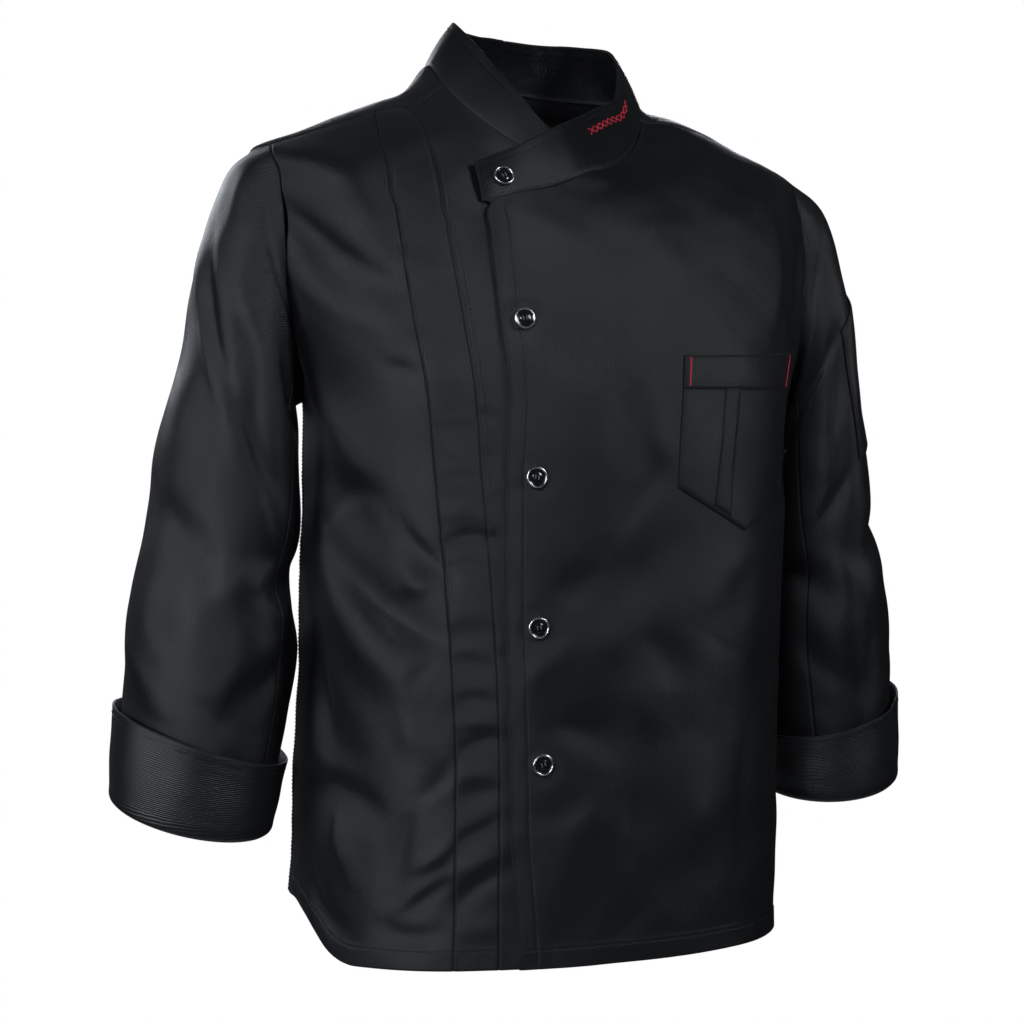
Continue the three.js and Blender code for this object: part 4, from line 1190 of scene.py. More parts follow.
def patch(place, columns, rows, out):
    """A grid that lies on the left front: place(u, v) gives angle and level, and out is its middle's height."""
    u, v = np.meshgrid(np.linspace(0, 1, columns), np.linspace(0, 1, rows))
    angle, level = place(u, v)
    return drape(angle, level, lift(angle) + out)


def patch_edges(p, normal, place):
    """A patch's edges turned down to the cloth below, with the dip of the stitch line beside them."""
    nearest = np.minimum.reduce(list(edge_distances(p).values()))
    height = -0.6 * bell(nearest, 1.1) - 0.25 * bell(nearest - 2.0, 0.7)
    return p + normal * height[..., None], normal, place


def pocket_body_place(u, v):
    """The pocket's body: a slanting side each, and a point below the middle."""
    bottom = mix(POCKET["corner"], POCKET["point"], 1 - np.abs(2 * u - 1))
    angle = mix(POCKET["left"], POCKET["right"], u) - POCKET["slant"] * (1 - v)
    return angle, mix(bottom, POCKET["band"] - 0.0008, v)


def pocket_band_place(u, v):
    """The band along the pocket's mouth."""
    return mix(POCKET["left"], POCKET["right"], u), mix(POCKET["band"], POCKET["top"], v)


def pocket_pleat_place(u, v):
    """The pleat down the pocket."""
    angle = mix(*POCKET["pleat"], u) - POCKET["pleat_slant"] * (1 - v)
    return angle, mix(mix(*POCKET["pleat_bottom"], 1 - u), POCKET["band"] - 0.0008, v)


def label_place(u, v):
    """The label inside the neck."""
    angle = mix(NECK_LABEL["from"], NECK_LABEL["to"], u)
    return angle, mix(NECK_LABEL["bottom"], NECK_LABEL["top"], v)


# Buttons


BUTTON_PROFILE = table("""
r z part
0.0 0.0 0
0.92 0.0 0
0.99 0.5 0
1.0 1.0 1
1.0 2.4 1
0.985 2.9 1
0.95 3.22 1
0.9 3.3 1
0.85 3.2 1
0.815 2.9 0
0.79 2.45 0
0.74 2.2 0
0.6 2.15 0
0.45 2.3 0
0.4 2.55 0
0.34 2.62 0
0.2 2.5 0
0.0 2.45 0
""")


def lathe(r, z, sides):
    """Vertices and faces of a profile turned about z, its two ends on the axis."""
    turn = np.arange(sides) * 2 * math.pi / sides
    ring = np.stack([np.cos(turn), np.sin(turn), np.zeros(sides)], -1)
    rings = ring * r[1:-1, None, None] + np.array([0, 0, 1]) * z[1:-1, None, None]
    vertices = np.concatenate([[[0, 0, z[0]]], rings.reshape(-1, 3), [[0, 0, z[-1]]]])
    index = 1 + np.arange(rings.shape[0] * sides).reshape(-1, sides)
    after = np.roll(index, -1, 1)
    faces = np.stack([index[:-1], after[:-1], after[1:], index[1:]], -1).reshape(-1, 4).tolist()
    last = len(vertices) - 1
    faces += [[0, b, a] for a, b in zip(index[0], after[0])]
    faces += [[last, a, b] for a, b in zip(index[-1], after[-1])]
    return vertices, faces


def standing_on(vertices, point, normal, turn):
    """Local points turned so that z is the normal, then by turn degrees about it, and moved to the point."""
    side = unit(np.cross([0.0, 0.0, 1.0], normal))
    up = np.cross(normal, side)
    c, s = math.cos(turn * RAD), math.sin(turn * RAD)
    x, y = c * side + s * up, c * up - s * side
    return point + vertices[:, :1] * x + vertices[:, 1:2] * y + vertices[:, 2:] * normal


BUTTON_SIDES = 44
HOLE_PLACE = 1.35
HOLE_TOP = 2.35


def joined(parts):
    """Vertices and faces of several meshes in one, and the part that each face comes from."""
    vertices, faces, origin, start = [], [], [], 0
    for number, (points, own) in enumerate(parts):
        vertices.append(points)
        faces += [[start + k for k in face] for face in own]
        origin += [number] * len(own)
        start += len(points)
    return np.concatenate(vertices), faces, np.array(origin)


def button(name, point, normal, turn, looks):
    """A dished button with a metal rim, four holes drawn as near-black discs of painted shade, and the thread
    through them.
    """
    parts = [lathe(BUTTON_PROFILE["r"] * BUTTON_RADIUS, BUTTON_PROFILE["z"], BUTTON_SIDES)]
    # painted shade: each hole is a near-black disc standing just above the dish in place of the shadowed opening
    for y in (HOLE_PLACE, -HOLE_PLACE):
        for x in (HOLE_PLACE, -HOLE_PLACE):
            rim, cap = lathe(np.array([0, 0.72, 0.78, 0.0]), np.array([HOLE_TOP, HOLE_TOP, 2.66, 2.64]), 14)
            parts.append((rim + [x, y, 0], cap))
    y = np.linspace(-1.5, 1.5, 7)
    for x in (-HOLE_PLACE, HOLE_PLACE):
        for shift in (-0.34, 0.0, 0.34):
            z = 2.75 + 0.42 * np.cos(y / 1.5 * math.pi / 2) - 0.12 * abs(shift)
            line = np.stack([np.full(7, x + shift), y, z], -1)[None]
            parts.append(tubes(line, np.broadcast_to([0.0, 0.0, 1.0], line.shape), np.full(7, 0.22), 6))
    vertices, faces, origin = joined(parts)
    kind = np.array([0] + [2] * 4 + [3] * 6)[origin]
    rim_faces = np.repeat(BUTTON_PROFILE["part"][1:-2], BUTTON_SIDES)
    kind[: rim_faces.size] = rim_faces
    materials = [looks[key] for key in ("button", "rim", "hole", "button_thread")]
    piece = worn_piece(name, standing_on(vertices, point, normal, turn), faces, materials, kind)
    return piece


# Materials


def add_node(tree, kind, inputs=None, **settings):
    """A node with its settings and inputs: a value is set, and a socket is linked."""
    made = tree.nodes.new(kind)
    for key, value in settings.items():
        setattr(made, key, value)
    for key, value in (inputs or {}).items():
        if isinstance(value, bpy.types.NodeSocket):
            tree.links.new(value, made.inputs[key])
        else:
            made.inputs[key].default_value = value
    return made


def math_node(tree, operation, *values):
    """The result of one operation on values or sockets."""
    return add_node(tree, "ShaderNodeMath", dict(enumerate(values)), operation=operation).outputs[0]


def noise(tree, place, scale, detail):
    """Noise from 0 to 1 at a place."""
    return add_node(tree, "ShaderNodeTexNoise", {"Vector": place, "Scale": scale, "Detail": detail}).outputs[0]


def remap(tree, value, low, high, to_low=0.0, to_high=1.0):
    """A value brought from one range to another and held at its ends."""
    sizes = {"Value": value, "From Min": low, "From Max": high, "To Min": to_low, "To Max": to_high}
    return add_node(tree, "ShaderNodeMapRange", sizes).outputs["Result"]


def bump(tree, height, distance, strength, normal=None):
    """The normal of a height, laid over another normal."""
    sizes = {"Height": height, "Distance": distance, "Strength": strength}
    if normal is not None:
        sizes["Normal"] = normal
    return add_node(tree, "ShaderNodeBump", sizes).outputs[0]


def own_place(tree):
    """The place in the piece's own coordinates."""
    return add_node(tree, "ShaderNodeTexCoord").outputs["Object"]


def new_group(name, inputs, outputs):
    """An empty shader group of numbers, with the values of its inputs and the names of its outputs."""
    group = bpy.data.node_groups.new(name, "ShaderNodeTree")
    for key, value in inputs.items():
        socket = group.interface.new_socket(key, in_out="INPUT", socket_type="NodeSocketFloat")
        socket.default_value = value
    for key in outputs:
        group.interface.new_socket(key, in_out="OUTPUT", socket_type="NodeSocketFloat")
    given, result = add_node(group, "NodeGroupInput"), add_node(group, "NodeGroupOutput")
    return group, given.outputs, result.inputs


def weave_group():
    """Twill: slanting ribs of yarn, each crossed by finer threads. Gives the height and a mask of the ribs."""
    group, given, result = new_group("Twill weave", {"Rib": 0.0013, "Slant": 0.9}, ("Height", "Ribs"))
    times, plus, minus, over = (
        partial(math_node, group, kind) for kind in ("MULTIPLY", "ADD", "SUBTRACT", "DIVIDE")
    )
    sine, cosine = partial(math_node, group, "SINE"), partial(math_node, group, "COSINE")
    cloth = add_node(group, "ShaderNodeUVMap", uv_map="cloth").outputs["UV"]
    sizes = {"Vector": cloth, "Scale": 70.0, "Detail": 2.0}
    wobble = add_node(group, "ShaderNodeTexNoise", sizes).outputs["Color"]
    moved = add_node(group, "ShaderNodeVectorMath", {0: wobble, "Scale": 0.0012}, operation="SCALE").outputs[0]
    place = add_node(group, "ShaderNodeVectorMath", {0: cloth, 1: moved}, operation="ADD").outputs[0]
    parts = add_node(group, "ShaderNodeSeparateXYZ", {"Vector": place}).outputs
    cos, sin = cosine(given["Slant"]), sine(given["Slant"])
    across = minus(times(parts["Y"], cos), times(parts["X"], sin))
    down = plus(times(parts["X"], cos), times(parts["Y"], sin))
    per_rib = over(2 * math.pi, given["Rib"])
    rib = plus(sine(times(across, per_rib)), 1.0)
    yarn = sine(times(plus(down, times(across, 0.4)), times(per_rib, 1.7)))
    group.links.new(plus(times(rib, 0.42), times(yarn, 0.1)), result["Height"])
    group.links.new(times(rib, 0.5), result["Ribs"])
    return group


def rumple_group():
    """Small soft unevenness of worn cloth: two sizes of noise in object space, as one height."""
    group, given, result = new_group("Soft rumple", {"Fine": 95.0, "Broad": 26.0}, ("Height", "Shade"))
    place = own_place(group)
    broad = noise(group, place, given["Broad"], 2.0)
    height = math_node(group, "MULTIPLY_ADD", noise(group, place, given["Fine"], 3.0), 0.3, broad)
    group.links.new(height, result["Height"])
    group.links.new(broad, result["Shade"])
    return group


def shader(name, constants):
    """A material and its tree, with the constants set on its principled shader's own sockets."""
    material = bpy.data.materials.new(name)
    material.use_nodes = True
    tree = material.node_tree
    principled = next(n for n in tree.nodes if n.type == "BSDF_PRINCIPLED")
    for key, value in constants.items():
        principled.inputs[key].default_value = value
    return material, tree, principled.inputs


def cloth_material(name, groups, dark, light, roughness, rib, slant, constants):
    """Woven cloth: two tones mixed by ribs and noise, darkened beside its seams and edges by painted shade, and
    paler along its edges from wear with a painted sheen.
    """
    material, tree, into = shader(name, constants)
    weave = add_node(tree, "ShaderNodeGroup", node_tree=groups["weave"])
    weave.inputs["Rib"].default_value = rib
    weave.inputs["Slant"].default_value = slant
    rumple = add_node(tree, "ShaderNodeGroup", node_tree=groups["rumple"])
    place = own_place(tree)
    edge = add_node(tree, "ShaderNodeAttribute", attribute_name="edge").outputs["Fac"]

    def fading(reach, start):
        return remap(tree, edge, 0.0, reach, start, 0.0)

    tone = math_node(tree, "MULTIPLY_ADD", weave.outputs["Ribs"], 0.45, rumple.outputs["Shade"])
    tone = math_node(tree, "MULTIPLY_ADD", noise(tree, place, 900.0, 2.0), 0.5, tone)
    colour = mix_colour(tree, remap(tree, tone, 0.55, 1.3), dark, light)
    # painted shade: within 1.3 mm of a seam or edge the colour darkens towards a fifth of the dark tone
    colour = mix_colour(tree, fading(1.3, 0.8), colour, [0.2 * c for c in dark])
    # wear and painted sheen: sparse pale spots, up to 1.9 times the light tone, within 0.9 mm of the edges
    wear_and_sheen_spots = remap(tree, noise(tree, place, 140.0, 3.0), 0.52, 0.66)
    worn = math_node(tree, "MULTIPLY", wear_and_sheen_spots, fading(0.9, 0.3))
    tree.links.new(mix_colour(tree, worn, colour, [1.9 * c for c in light]), into["Base Color"])
    rough = remap(tree, tone, 0.5, 1.4, roughness + 0.08, roughness - 0.06)
    tree.links.new(math_node(tree, "ADD", rough, fading(1.1, 0.3)), into["Roughness"])
    normal = bump(tree, rumple.outputs["Height"], 0.0010, 0.5)
    normal = bump(tree, weave.outputs["Height"], WEAVE_RELIEF, 1.0, normal)
    tree.links.new(bump(tree, noise(tree, place, 620.0, 2.0), 0.0003, 0.6, normal), into["Normal"])
    return material


def mix_colour(tree, factor, a, b):
    """The mix of two colours, each three values or a socket."""
    a, b = (c if isinstance(c, bpy.types.NodeSocket) else (*c, 1.0) for c in (a, b))
    return add_node(tree, "ShaderNodeMix", {0: factor, 6: a, 7: b}, data_type="RGBA").outputs[2]


def thread_material(name, dark, light, roughness):
    """Twisted thread: two tones in fine slanting bands, with a bump of the same bands."""
    material, tree, into = shader(name, {"Roughness": roughness})
    sizes = {"Vector": own_place(tree), "Scale": 900.0, "Distortion": 2.0, "Detail": 1.0}
    bands = add_node(tree, "ShaderNodeTexWave", sizes, bands_direction="DIAGONAL").outputs["Fac"]
    tree.links.new(mix_colour(tree, bands, dark, light), into["Base Color"])
    tree.links.new(bump(tree, bands, 0.0001, 0.6), into["Normal"])
    return material


def hard_material(name, dark, light, roughness, constants):
    """Moulded or plated surface: two close tones in a soft noise, and fine scratches in its roughness."""
    material, tree, into = shader(name, constants)
    place = own_place(tree)
    clouds = noise(tree, place, 260.0, 3.0)
    tree.links.new(mix_colour(tree, clouds, dark, light), into["Base Color"])
    scratch = noise(tree, place, 1400.0, 2.0)
    tree.links.new(remap(tree, scratch, 0.3, 0.7, roughness - 0.05, roughness + 0.08), into["Roughness"])
    tree.links.new(bump(tree, clouds, 0.0001, 0.25), into["Normal"])
    return material


def make_looks():
    """All the materials by name, made once."""
    groups = {"weave": weave_group(), "rumple": rumple_group()}
    satin = {"Sheen Weight": 0.03, "Sheen Roughness": 0.4, "IOR": 1.46, "Specular IOR Level": 0.42}
    cuff = {**satin, "Specular IOR Level": 0.55}
    dull = {"Sheen Weight": 0.2, "Sheen Roughness": 0.5, "IOR": 1.45, "Specular IOR Level": 0.3}
    black = ((0.0030, 0.0033, 0.0044), (0.0064, 0.0070, 0.0092))
    # painted light: the cuffs' black is a paler copy of the body's black, raised to brighten the near cuff as
    # more light would
    cuff_black_with_painted_light = ((0.0037, 0.0040, 0.0053), (0.0087, 0.0094, 0.0120))
    cloth_rows = (
        ("satin", "black_satin_twill", *black, 0.42, 0.0013, 0.9, satin),
        ("cuff", "black_cuff_twill", *cuff_black_with_painted_light, 0.41, 0.0014, 0.05, cuff),
        ("label", "label_cloth", (0.62, 0.61, 0.58), (0.8, 0.79, 0.76), 0.6, 0.0009, 1.5708, dull),
    )
    thread_rows = (
        ("thread", "black_thread", (0.002, 0.002, 0.003), (0.007, 0.007, 0.009), 0.6),
        ("red_thread", "red_thread", (0.42, 0.012, 0.03), (0.72, 0.05, 0.08), 0.4),
        ("button_thread", "button_thread", (0.05, 0.05, 0.06), (0.16, 0.16, 0.18), 0.45),
    )
    hard_rows = (
        ("button", "button_black", (0.004, 0.004, 0.006), (0.012, 0.012, 0.016), 0.14, {"Coat Weight": 0.4}),
        ("rim", "button_rim", (0.62, 0.63, 0.66), (0.86, 0.87, 0.9), 0.24, {"Metallic": 1.0}),
        # painted shade: near-black colour of the discs that stand for the button's holes
        ("hole", "button_hole", (0.001, 0.001, 0.001), (0.003, 0.003, 0.003), 0.6, {"IOR": 1.4}),
    )
    made = {key: cloth_material(name, groups, *row) for key, name, *row in cloth_rows}
    made |= {key: thread_material(*row) for key, *row in thread_rows}
    made |= {key: hard_material(*row) for key, *row in hard_rows}
    return made | {"floor": floor_material()}


def floor_material():
    """A pale matt floor, faintly uneven, which glows more towards its rim and meets the white there."""
    material, tree, into = shader("studio_floor", {"Roughness": 0.85, "Emission Color": (1, 1, 1, 1)})
    place = own_place(tree)
    parts = add_node(tree, "ShaderNodeSeparateXYZ", {"Vector": place}).outputs
    flat = add_node(tree, "ShaderNodeCombineXYZ", {"X": parts["X"], "Y": parts["Y"]}).outputs[0]
    away = add_node(tree, "ShaderNodeVectorMath", {0: flat}, operation="LENGTH").outputs["Value"]
    seen = add_node(tree, "ShaderNodeLightPath").outputs["Is Camera Ray"]
    glow = math_node(tree, "MULTIPLY", remap(tree, away, 0.0, FLOOR_RADIUS, 0.2, 0.8), seen)
    tree.links.new(glow, into["Emission Strength"])
    colour = mix_colour(tree, noise(tree, place, 2.0, 2.0), (0.86, 0.86, 0.86), (0.9, 0.9, 0.9))
    tree.links.new(colour, into["Base Color"])
    return material


FLOOR_RADIUS = 2.2
FLOOR_SIDES = 96
WEAVE_RELIEF = 0.0002
LOOKS = {}
CLOTHS = {}


def looks():
    """The materials, made at the first call."""
    if not LOOKS:
        LOOKS.update(make_looks())
    return LOOKS


# Add-on


class JacketSewing(bpy.types.PropertyGroup):
    """Sizes of the stitches, in metres."""

    pitch: bpy.props.FloatProperty(
        name="Stitch pitch",
        description="Distance from one stitch to the next",
        default=0.0031,
        min=0.0025,
        max=0.006,
        unit="LENGTH",
        precision=5,
    )
    radius: bpy.props.FloatProperty(
        name="Thread radius",
        description="Radius of the sewing thread",
        default=0.00038,
        min=0.0001,
        max=0.0008,
        unit="LENGTH",
        precision=5,
    )


class JacketStudio(bpy.types.PropertyGroup):
    """Light and floor of the studio."""

    key: bpy.props.FloatProperty(
        name="Key light",
        description="Power of the large light at the upper left",
        default=4.2,
        min=0.0,
        unit="POWER",
    )
    fill: bpy.props.FloatProperty(
        name="Fill light",
        description="Power of the weak light at the right",
        default=2.3,
        min=0.0,
        unit="POWER",
    )
    surroundings: bpy.props.FloatProperty(
        name="Surroundings", description="Strength of the pale surroundings", default=0.01, min=0.0
    )
    floor_height: bpy.props.FloatProperty(
        name="Floor height", description="Height of the floor under the jacket", default=-1.8, unit="LENGTH"
    )


class JACKET_OT_body(bpy.types.Operator):
    """Builds the back and the fronts"""

    bl_idname = "jacket.body"
    bl_label = "Body"

    def execute(self, context):
        satin = looks()["satin"]
        for name, grid, node, rests_on in (
            ("back_cloth", back_grid(), "back", ("left_front", "right_front_side")),
            ("right_side_cloth", side_grid(), "right_front_side", ("back", "right_front_strip")),
            ("right_strip_cloth", strip_grid(), "right_front_strip", ("right_front_side", "right_front_inner")),
            ("right_inner_cloth", inner_grid(), "right_front_inner", ("right_front_strip", "collar_right")),
            ("left_front_cloth", left_front_grid(), "left_front", ("back", "right_front_inner")),
        ):
            CLOTHS[name] = (*grid, with_hem(grid[0]))
            shell(name, *CLOTHS[name], satin, node, "hung", rests_on)
        return {"FINISHED"}


class JACKET_OT_sleeves(bpy.types.Operator):
    """Builds both sleeves and their turned-back cuffs"""

    bl_idname = "jacket.sleeves"
    bl_label = "Sleeves"

    def execute(self, context):
        for word, side in (("left", LEFT), ("right", RIGHT)):
            for part, start, end, width in (
                ("top", SLEEVE_SEAM_BACK - 360, SLEEVE_SEAM_FRONT, 300),
                ("under", SLEEVE_SEAM_FRONT, SLEEVE_SEAM_BACK, 130),
            ):
                name = f"sleeve_{word}_{part}_cloth"
                CLOTHS[name] = (*sleeve_grid(side, start, end, width), CLOTH)
                rests_on = ("back", "left_front" if side == LEFT else "right_front_side")
                shell(name, *CLOTHS[name], looks()["satin"], f"sleeve_{word}_{part}", "hung", rests_on)
            name = f"cuff_{word}_cloth"
            CLOTHS[name] = (*cuff_grid(side), CLOTH)
            shell(name, *CLOTHS[name], looks()["cuff"], f"cuff_{word}", "folded", (f"sleeve_{word}_top",))
        return {"FINISHED"}


class JACKET_OT_collar(bpy.types.Operator):
    """Builds the stand collar and the label inside it"""

    bl_idname = "jacket.collar"
    bl_label = "Collar"

    def execute(self, context):
        for name, rows, start, end, node, rests_on in (
            ("collar_left_cloth", COLLAR_LEFT, -25.5, 180, "collar_left", ("back", "left_front")),
            ("collar_right_cloth", COLLAR_RIGHT, -180, -15.7, "collar_right", ("back", "right_front_inner")),
        ):
            CLOTHS[name] = (*collar_grid(rows, start, end, node == "collar_left"), THICK_CLOTH)
            shell(name, *CLOTHS[name], looks()["satin"], node, "folded", rests_on)
        u, v = np.meshgrid(np.linspace(0, 1, 24), np.linspace(0, 1, 18))
        label = drape(*label_place(u, v), -NECK_LABEL["inset"])
        shell("neck_label_cloth", *label, 0.7, looks()["label"], "neck_label", "laid", ("back",))
        return {"FINISHED"}


class JACKET_OT_pockets(bpy.types.Operator):
    """Builds the chest pocket with its band and pleat, and the sleeve pocket"""

    bl_idname = "jacket.pockets"
    bl_label = "Pockets"

    def execute(self, context):
        for name, place, columns, rows, out, thickness, node, below in (
            ("chest_pocket_cloth", pocket_body_place, 76, 84, 2.0, 1.2, "chest_pocket", "left_front"),
            ("chest_band_cloth", pocket_band_place, 76, 20, 2.5, 1.8, "chest_pocket_band", "left_front"),
            ("chest_pleat_cloth", pocket_pleat_place, 16, 76, 3.5, 1.0, "chest_pocket_pleat", "chest_pocket"),
        ):
            CLOTHS[name] = (*patch_edges(*patch(place, columns, rows, out)), thickness)
            shell(name, *CLOTHS[name], looks()["satin"], node, "laid", (below,))
        spots = SLEEVE_POCKET
        angle, along = np.meshgrid(
            np.linspace(spots["back"], spots["front"], 40), np.linspace(spots["bottom"], spots["top"], 44)
        )
        name = "sleeve_pocket_cloth"
        CLOTHS[name] = (*patch_edges(*sleeve_drape(angle, along, LEFT, 2.6)), 1.2)
        shell(name, *CLOTHS[name], looks()["satin"], "sleeve_pocket", "laid", ("sleeve_left_top",))
        return {"FINISHED"}


def tab_spot():
    """Middle of the collar's button and the way out there, as the frame has it."""
    low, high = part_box("button_collar")
    middle = (np.array(low) + np.array(high)) / 2 / MM
    p, normal = CLOTHS["collar_left_cloth"][:2]
    away = np.linalg.norm(p - middle, axis=-1)
    k = np.unravel_index(away.argmin(), away.shape)
    return p[k], unit(normal[k])


class JACKET_OT_buttons(bpy.types.Operator):
    """Builds the five buttons"""

    bl_idname = "jacket.buttons"
    bl_label = "Buttons"

    def execute(self, context):
        point, normal = tab_spot()
        piece = button("collar_button", point + normal * (THICK_CLOTH / 2 + 0.1), normal, 24, looks())
        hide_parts("button_collar")
        for k, (angle, level, turn) in enumerate(zip(BUTTONS["angle"], BUTTONS["level"], (8, -12, 5, 17)), 1):
            normal = body_normal(angle, level)
            point = body_surface(angle, level) + normal * (lift(angle) + CLOTH / 2 + 0.2)
            piece = button(f"front_button_{k}", point, normal, turn, looks())
            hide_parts(f"button_{k}")
        return {"FINISHED"}


def bartack(name, points, normals, material):
    """Close zigzag stitches along a short line."""
    total = ways_along(points)[-1]
    count = int(total / BARTACK_PITCH)
    place, normal = sample_line(points, normals, np.linspace(0, total, count))
    tangent = unit(np.gradient(place, axis=0))
    across = unit(np.cross(tangent, normal))
    t = np.linspace(-1, 1, 6)
    side = np.where(np.arange(count) % 2 == 0, 1, -1)[:, None]
    centres = place[:, None] + across[:, None] * (t * BARTACK_WIDTH / 2)[:, None] * side[:, :, None]
    centres = centres + tangent[:, None] * (t * 0.14)[:, None]
    centres = centres + normal[:, None] * (0.42 * (1 - t**2) + 0.05)[:, None]
    radii = 0.3 * np.array([0.5, 0.95, 1, 1, 0.95, 0.5])
    vertices, faces = tubes(centres, np.broadcast_to(normal[:, None], centres.shape), radii, 6)
    return worn_piece(name, vertices, faces, [material])


def ornament(name, cloth, span, rails, count, material):
    """A row of plain diamonds in thick thread: two crossing zigzags between the first and last rail, which lie at
    distances in mm below the cloth's top edge."""
    angle = cloth[2][0, :, 0] / COLLAR_MAP
    keep = (angle > span[0]) & (angle < span[1])
    t = np.linspace(0, 1, len(rails))
    places, ups = [], []
    for distance in rails:
        points, normals = (part[keep] for part in line_at(cloth, "top", distance))
        ways = (np.arange(count)[:, None] + t) / count * ways_along(points)[-1]
        place, normal = sample_line(points, normals, ways.ravel())
        places.append((place + normal * 0.2).reshape(count, -1, 3))
        ups.append(normal.reshape(count, -1, 3))
    places, ups, at = np.stack(places), np.stack(ups), np.arange(len(rails))
    centres = [part[rail, :, at].transpose(1, 0, 2) for part in (places, ups) for rail in (at, at[::-1])]
    thickness = 0.62 * np.minimum(1, 0.5 + 3 * np.minimum(t, 1 - t))
    vertices, faces = tubes(np.concatenate(centres[:2]), np.concatenate(centres[2:]), thickness, 8)
    return worn_piece(name, vertices, faces, [material])


BARTACK_PITCH = 0.55
BARTACK_WIDTH = 1.5
STITCH_SHARE = 0.78
# Each sewn piece's lines: the cloth, its edges and the distances from them.
SEWING = {
    "stitches_front": (
        ("right_strip", "start", (SEAM_STITCHES,)),
        ("right_inner", "start", (SEAM_STITCHES, BAND_STITCHES)),
        ("left_front", "start", EDGE_STITCHES),
    ),
    "stitches_back": (("back", "start end", (SEAM_STITCHES, BAND_STITCHES)),),
    "stitches_hem": tuple(
        (name, "bottom", (HEM_STITCHES,))
        for name in ("back", "right_side", "right_strip", "right_inner", "left_front")
    ),
    "stitches_sleeves": (
        ("sleeve_left_top", "start", (SEAM_STITCHES, BAND_STITCHES)),
        ("sleeve_right_top", "start", (SEAM_STITCHES, BAND_STITCHES)),
        ("cuff_left", "top", (6.0,)),
        ("cuff_right", "top", (6.0,)),
    ),
    "stitches_collar": (
        ("collar_left", "top", (COLLAR_STITCHES,)),
        ("collar_left", "start", (5.0,)),
        ("collar_left", "bottom", (2.4,)),
        ("collar_right", "top", (COLLAR_STITCHES,)),
        ("collar_right", "end", (5.0,)),
    ),
    "stitches_pockets": (
        ("chest_pocket", "start end bottom", (2.0,)),
        ("chest_band", "start end bottom", (1.6,)),
        ("chest_band", "bottom", (4.4,)),
        ("chest_pleat", "start end", (1.4,)),
        ("sleeve_pocket", "start end bottom top", (2.0,)),
    ),
}


class JACKET_OT_sewing(bpy.types.Operator):
    """Sews the seams, hems, pockets and bartacks"""

    bl_idname = "jacket.sewing"
    bl_label = "Sewing"

    def execute(self, context):
        sizes = context.scene.jacket_sewing
        pitch, radius = sizes.pitch / MM, sizes.radius / MM
        stitch = (pitch, pitch * STITCH_SHARE, radius)
        finer = (pitch * 0.9, pitch * 0.7, radius * 0.9)
        for name, rows in SEWING.items():
            lines = [
                line_at(CLOTHS[f"{cloth}_cloth"], edge, distance)
                for cloth, edges, distances in rows
                for edge in edges.split()
                for distance in distances
            ]
            sew(name, lines, looks()["thread"], *(finer if name == "stitches_pockets" else stitch))
        for name, edge in (("bartack_inner", "start"), ("bartack_outer", "end")):
            line = line_at(CLOTHS["chest_band_cloth"], edge, 4.6)
            bartack(name, *cut_line(*line, 0.8, 1.2), looks()["red_thread"])
        collar = CLOTHS["collar_left_cloth"]
        ornament("collar_ornament", collar, (8, 60), np.linspace(14, 21, 7), 9, looks()["red_thread"])
        return {"FINISHED"}


CAMERA = {"place": (-0.803, -1.741, -0.330), "turn": -25, "lens": 80.5, "shift": (-0.0352, -0.0215)}
MIDDLE = (0, -0.02, -0.35)
CHEST = (0.1, -0.1, -0.12)
NEAR_SLEEVE = (-0.3, 0, -0.55)


def area_light(name, place, target, size, power, spread):
    """A square light at a place that faces a target, its beam spread degrees wide."""
    lamp = bpy.data.lights.new(name, "AREA")
    lamp.shape = "SQUARE"
    lamp.size = size
    lamp.energy = power
    lamp.spread = spread * RAD
    lamp.color = (0.89, 0.935, 1.0)
    light = bpy.data.objects.new(name, lamp)
    light.location = place
    way = np.array(target) - np.array(place)
    flat = math.hypot(way[0], way[1])
    light.rotation_euler = (math.atan2(flat, -way[2]), 0, math.atan2(-way[0], way[1]))
    bpy.context.scene.collection.objects.link(light)


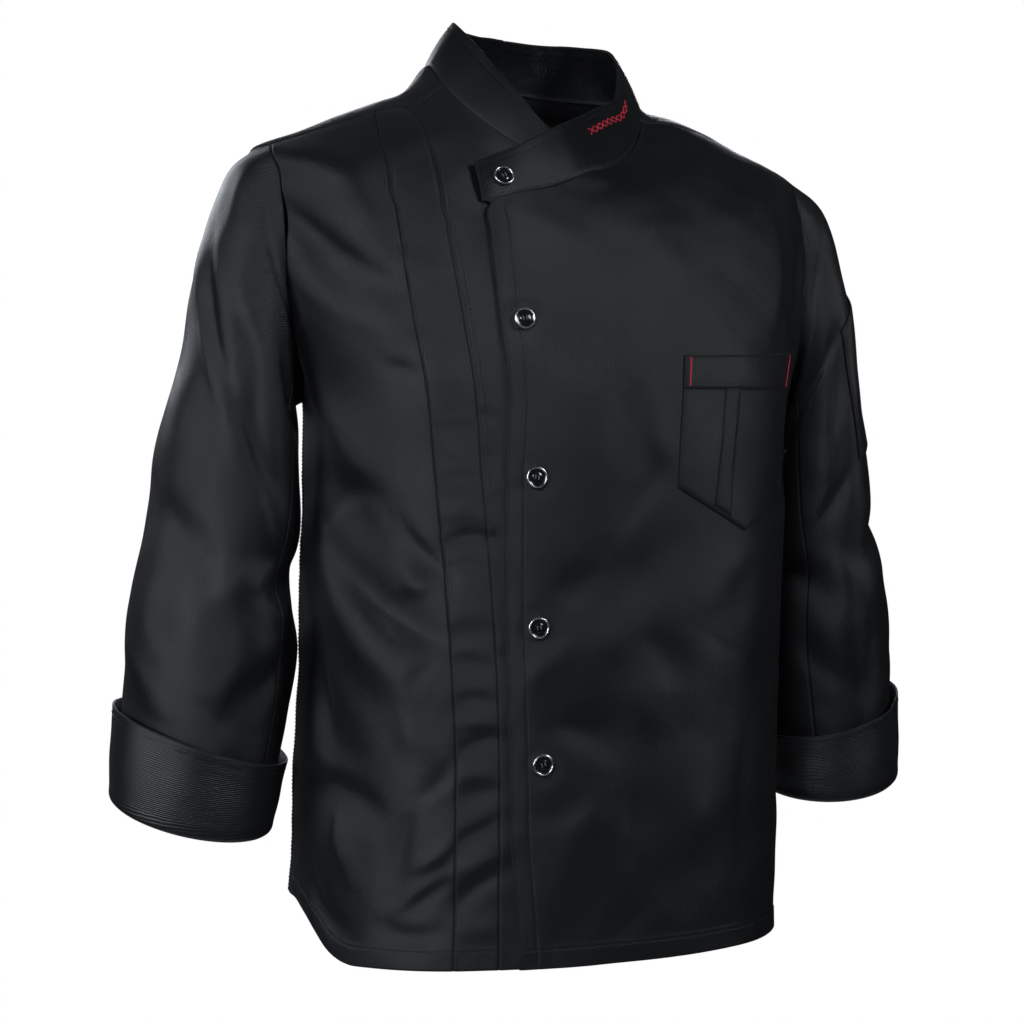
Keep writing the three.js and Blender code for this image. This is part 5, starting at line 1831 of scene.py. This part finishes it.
class JACKET_OT_studio(bpy.types.Operator):
    """Sets up the camera, the lights, the surroundings and the floor"""

    bl_idname = "jacket.studio"
    bl_label = "Studio"

    def execute(self, context):
        scene = context.scene
        sizes = scene.jacket_studio
        camera = bpy.data.objects.new("camera", bpy.data.cameras.new("camera"))
        camera.location = CAMERA["place"]
        camera.rotation_euler = (math.pi / 2, 0, CAMERA["turn"] * RAD)
        camera.data.lens = CAMERA["lens"]
        camera.data.sensor_width = 36
        camera.data.shift_x, camera.data.shift_y = CAMERA["shift"]
        scene.collection.objects.link(camera)
        scene.camera = camera
        area_light("key_light", (-1.7, -2.2, 0.7), MIDDLE, 0.75, sizes.key, 70)
        area_light("side_light", (-2.7, -0.5, 0.05), NEAR_SLEEVE, 1.0, sizes.key * 1.35, 70)
        area_light("fill_light", (1.4, -2.2, 1.0), CHEST, 0.8, sizes.fill, 45)
        area_light("back_light", (1.2, 2.6, 0.7), MIDDLE, 1.2, sizes.key * 2.6, 80)
        area_light("back_side_light", (-0.5, 2.8, 0.9), MIDDLE, 1.2, sizes.key * 1.4, 80)
        world = bpy.data.worlds.new("studio")
        world.use_nodes = True
        tree = world.node_tree
        background = next(n for n in tree.nodes if n.type == "BACKGROUND")
        background.inputs["Color"].default_value = (1, 1, 1, 1)
        seen = add_node(tree, "ShaderNodeLightPath").outputs["Is Camera Ray"]
        strength = remap(tree, seen, 0.0, 1.0, sizes.surroundings, 1.0)
        tree.links.new(strength, background.inputs["Strength"])
        scene.world = world
        scene.view_settings.view_transform = "Standard"
        turn = np.arange(FLOOR_SIDES) * 2 * math.pi / FLOOR_SIDES
        disc = np.stack([np.cos(turn), np.sin(turn), np.zeros(FLOOR_SIDES)], -1) * FLOOR_RADIUS / MM
        disc[:, 2] = sizes.floor_height / MM
        floor = make_mesh("floor", disc, [list(range(FLOOR_SIDES))], [looks()["floor"]])
        return {"FINISHED"}


class JACKET_PT_panel(bpy.types.Panel):
    """The jacket's sidebar panel"""

    bl_label = "Jacket"
    bl_idname = "JACKET_PT_panel"
    bl_space_type = "VIEW_3D"
    bl_region_type = "UI"
    bl_category = "Jacket"

    def draw(self, context):
        for group in (context.scene.jacket_sewing, context.scene.jacket_studio):
            box = self.layout.box()
            for name in group.__annotations__:
                box.prop(group, name)
        for operator in BUILDERS:
            self.layout.operator(operator.bl_idname)


BUILDERS = (
    JACKET_OT_studio,
    JACKET_OT_body,
    JACKET_OT_sleeves,
    JACKET_OT_collar,
    JACKET_OT_pockets,
    JACKET_OT_buttons,
    JACKET_OT_sewing,
)
CLASSES = (JacketSewing, JacketStudio, *BUILDERS, JACKET_PT_panel)


def register():
    """Registers the classes and hangs their properties on the scene."""
    for item in CLASSES:
        bpy.utils.register_class(item)
    bpy.types.Scene.jacket_sewing = bpy.props.PointerProperty(type=JacketSewing)
    bpy.types.Scene.jacket_studio = bpy.props.PointerProperty(type=JacketStudio)


def unregister():
    """Takes the properties and classes away again."""
    del bpy.types.Scene.jacket_studio
    del bpy.types.Scene.jacket_sewing
    for item in reversed(CLASSES):
        bpy.utils.unregister_class(item)


def main():
    """Builds the whole scene."""
    register()
    for operator in BUILDERS:
        group, name = operator.bl_idname.split(".")
        getattr(getattr(bpy.ops, group), name)()


if __name__ == "__main__":
    main()
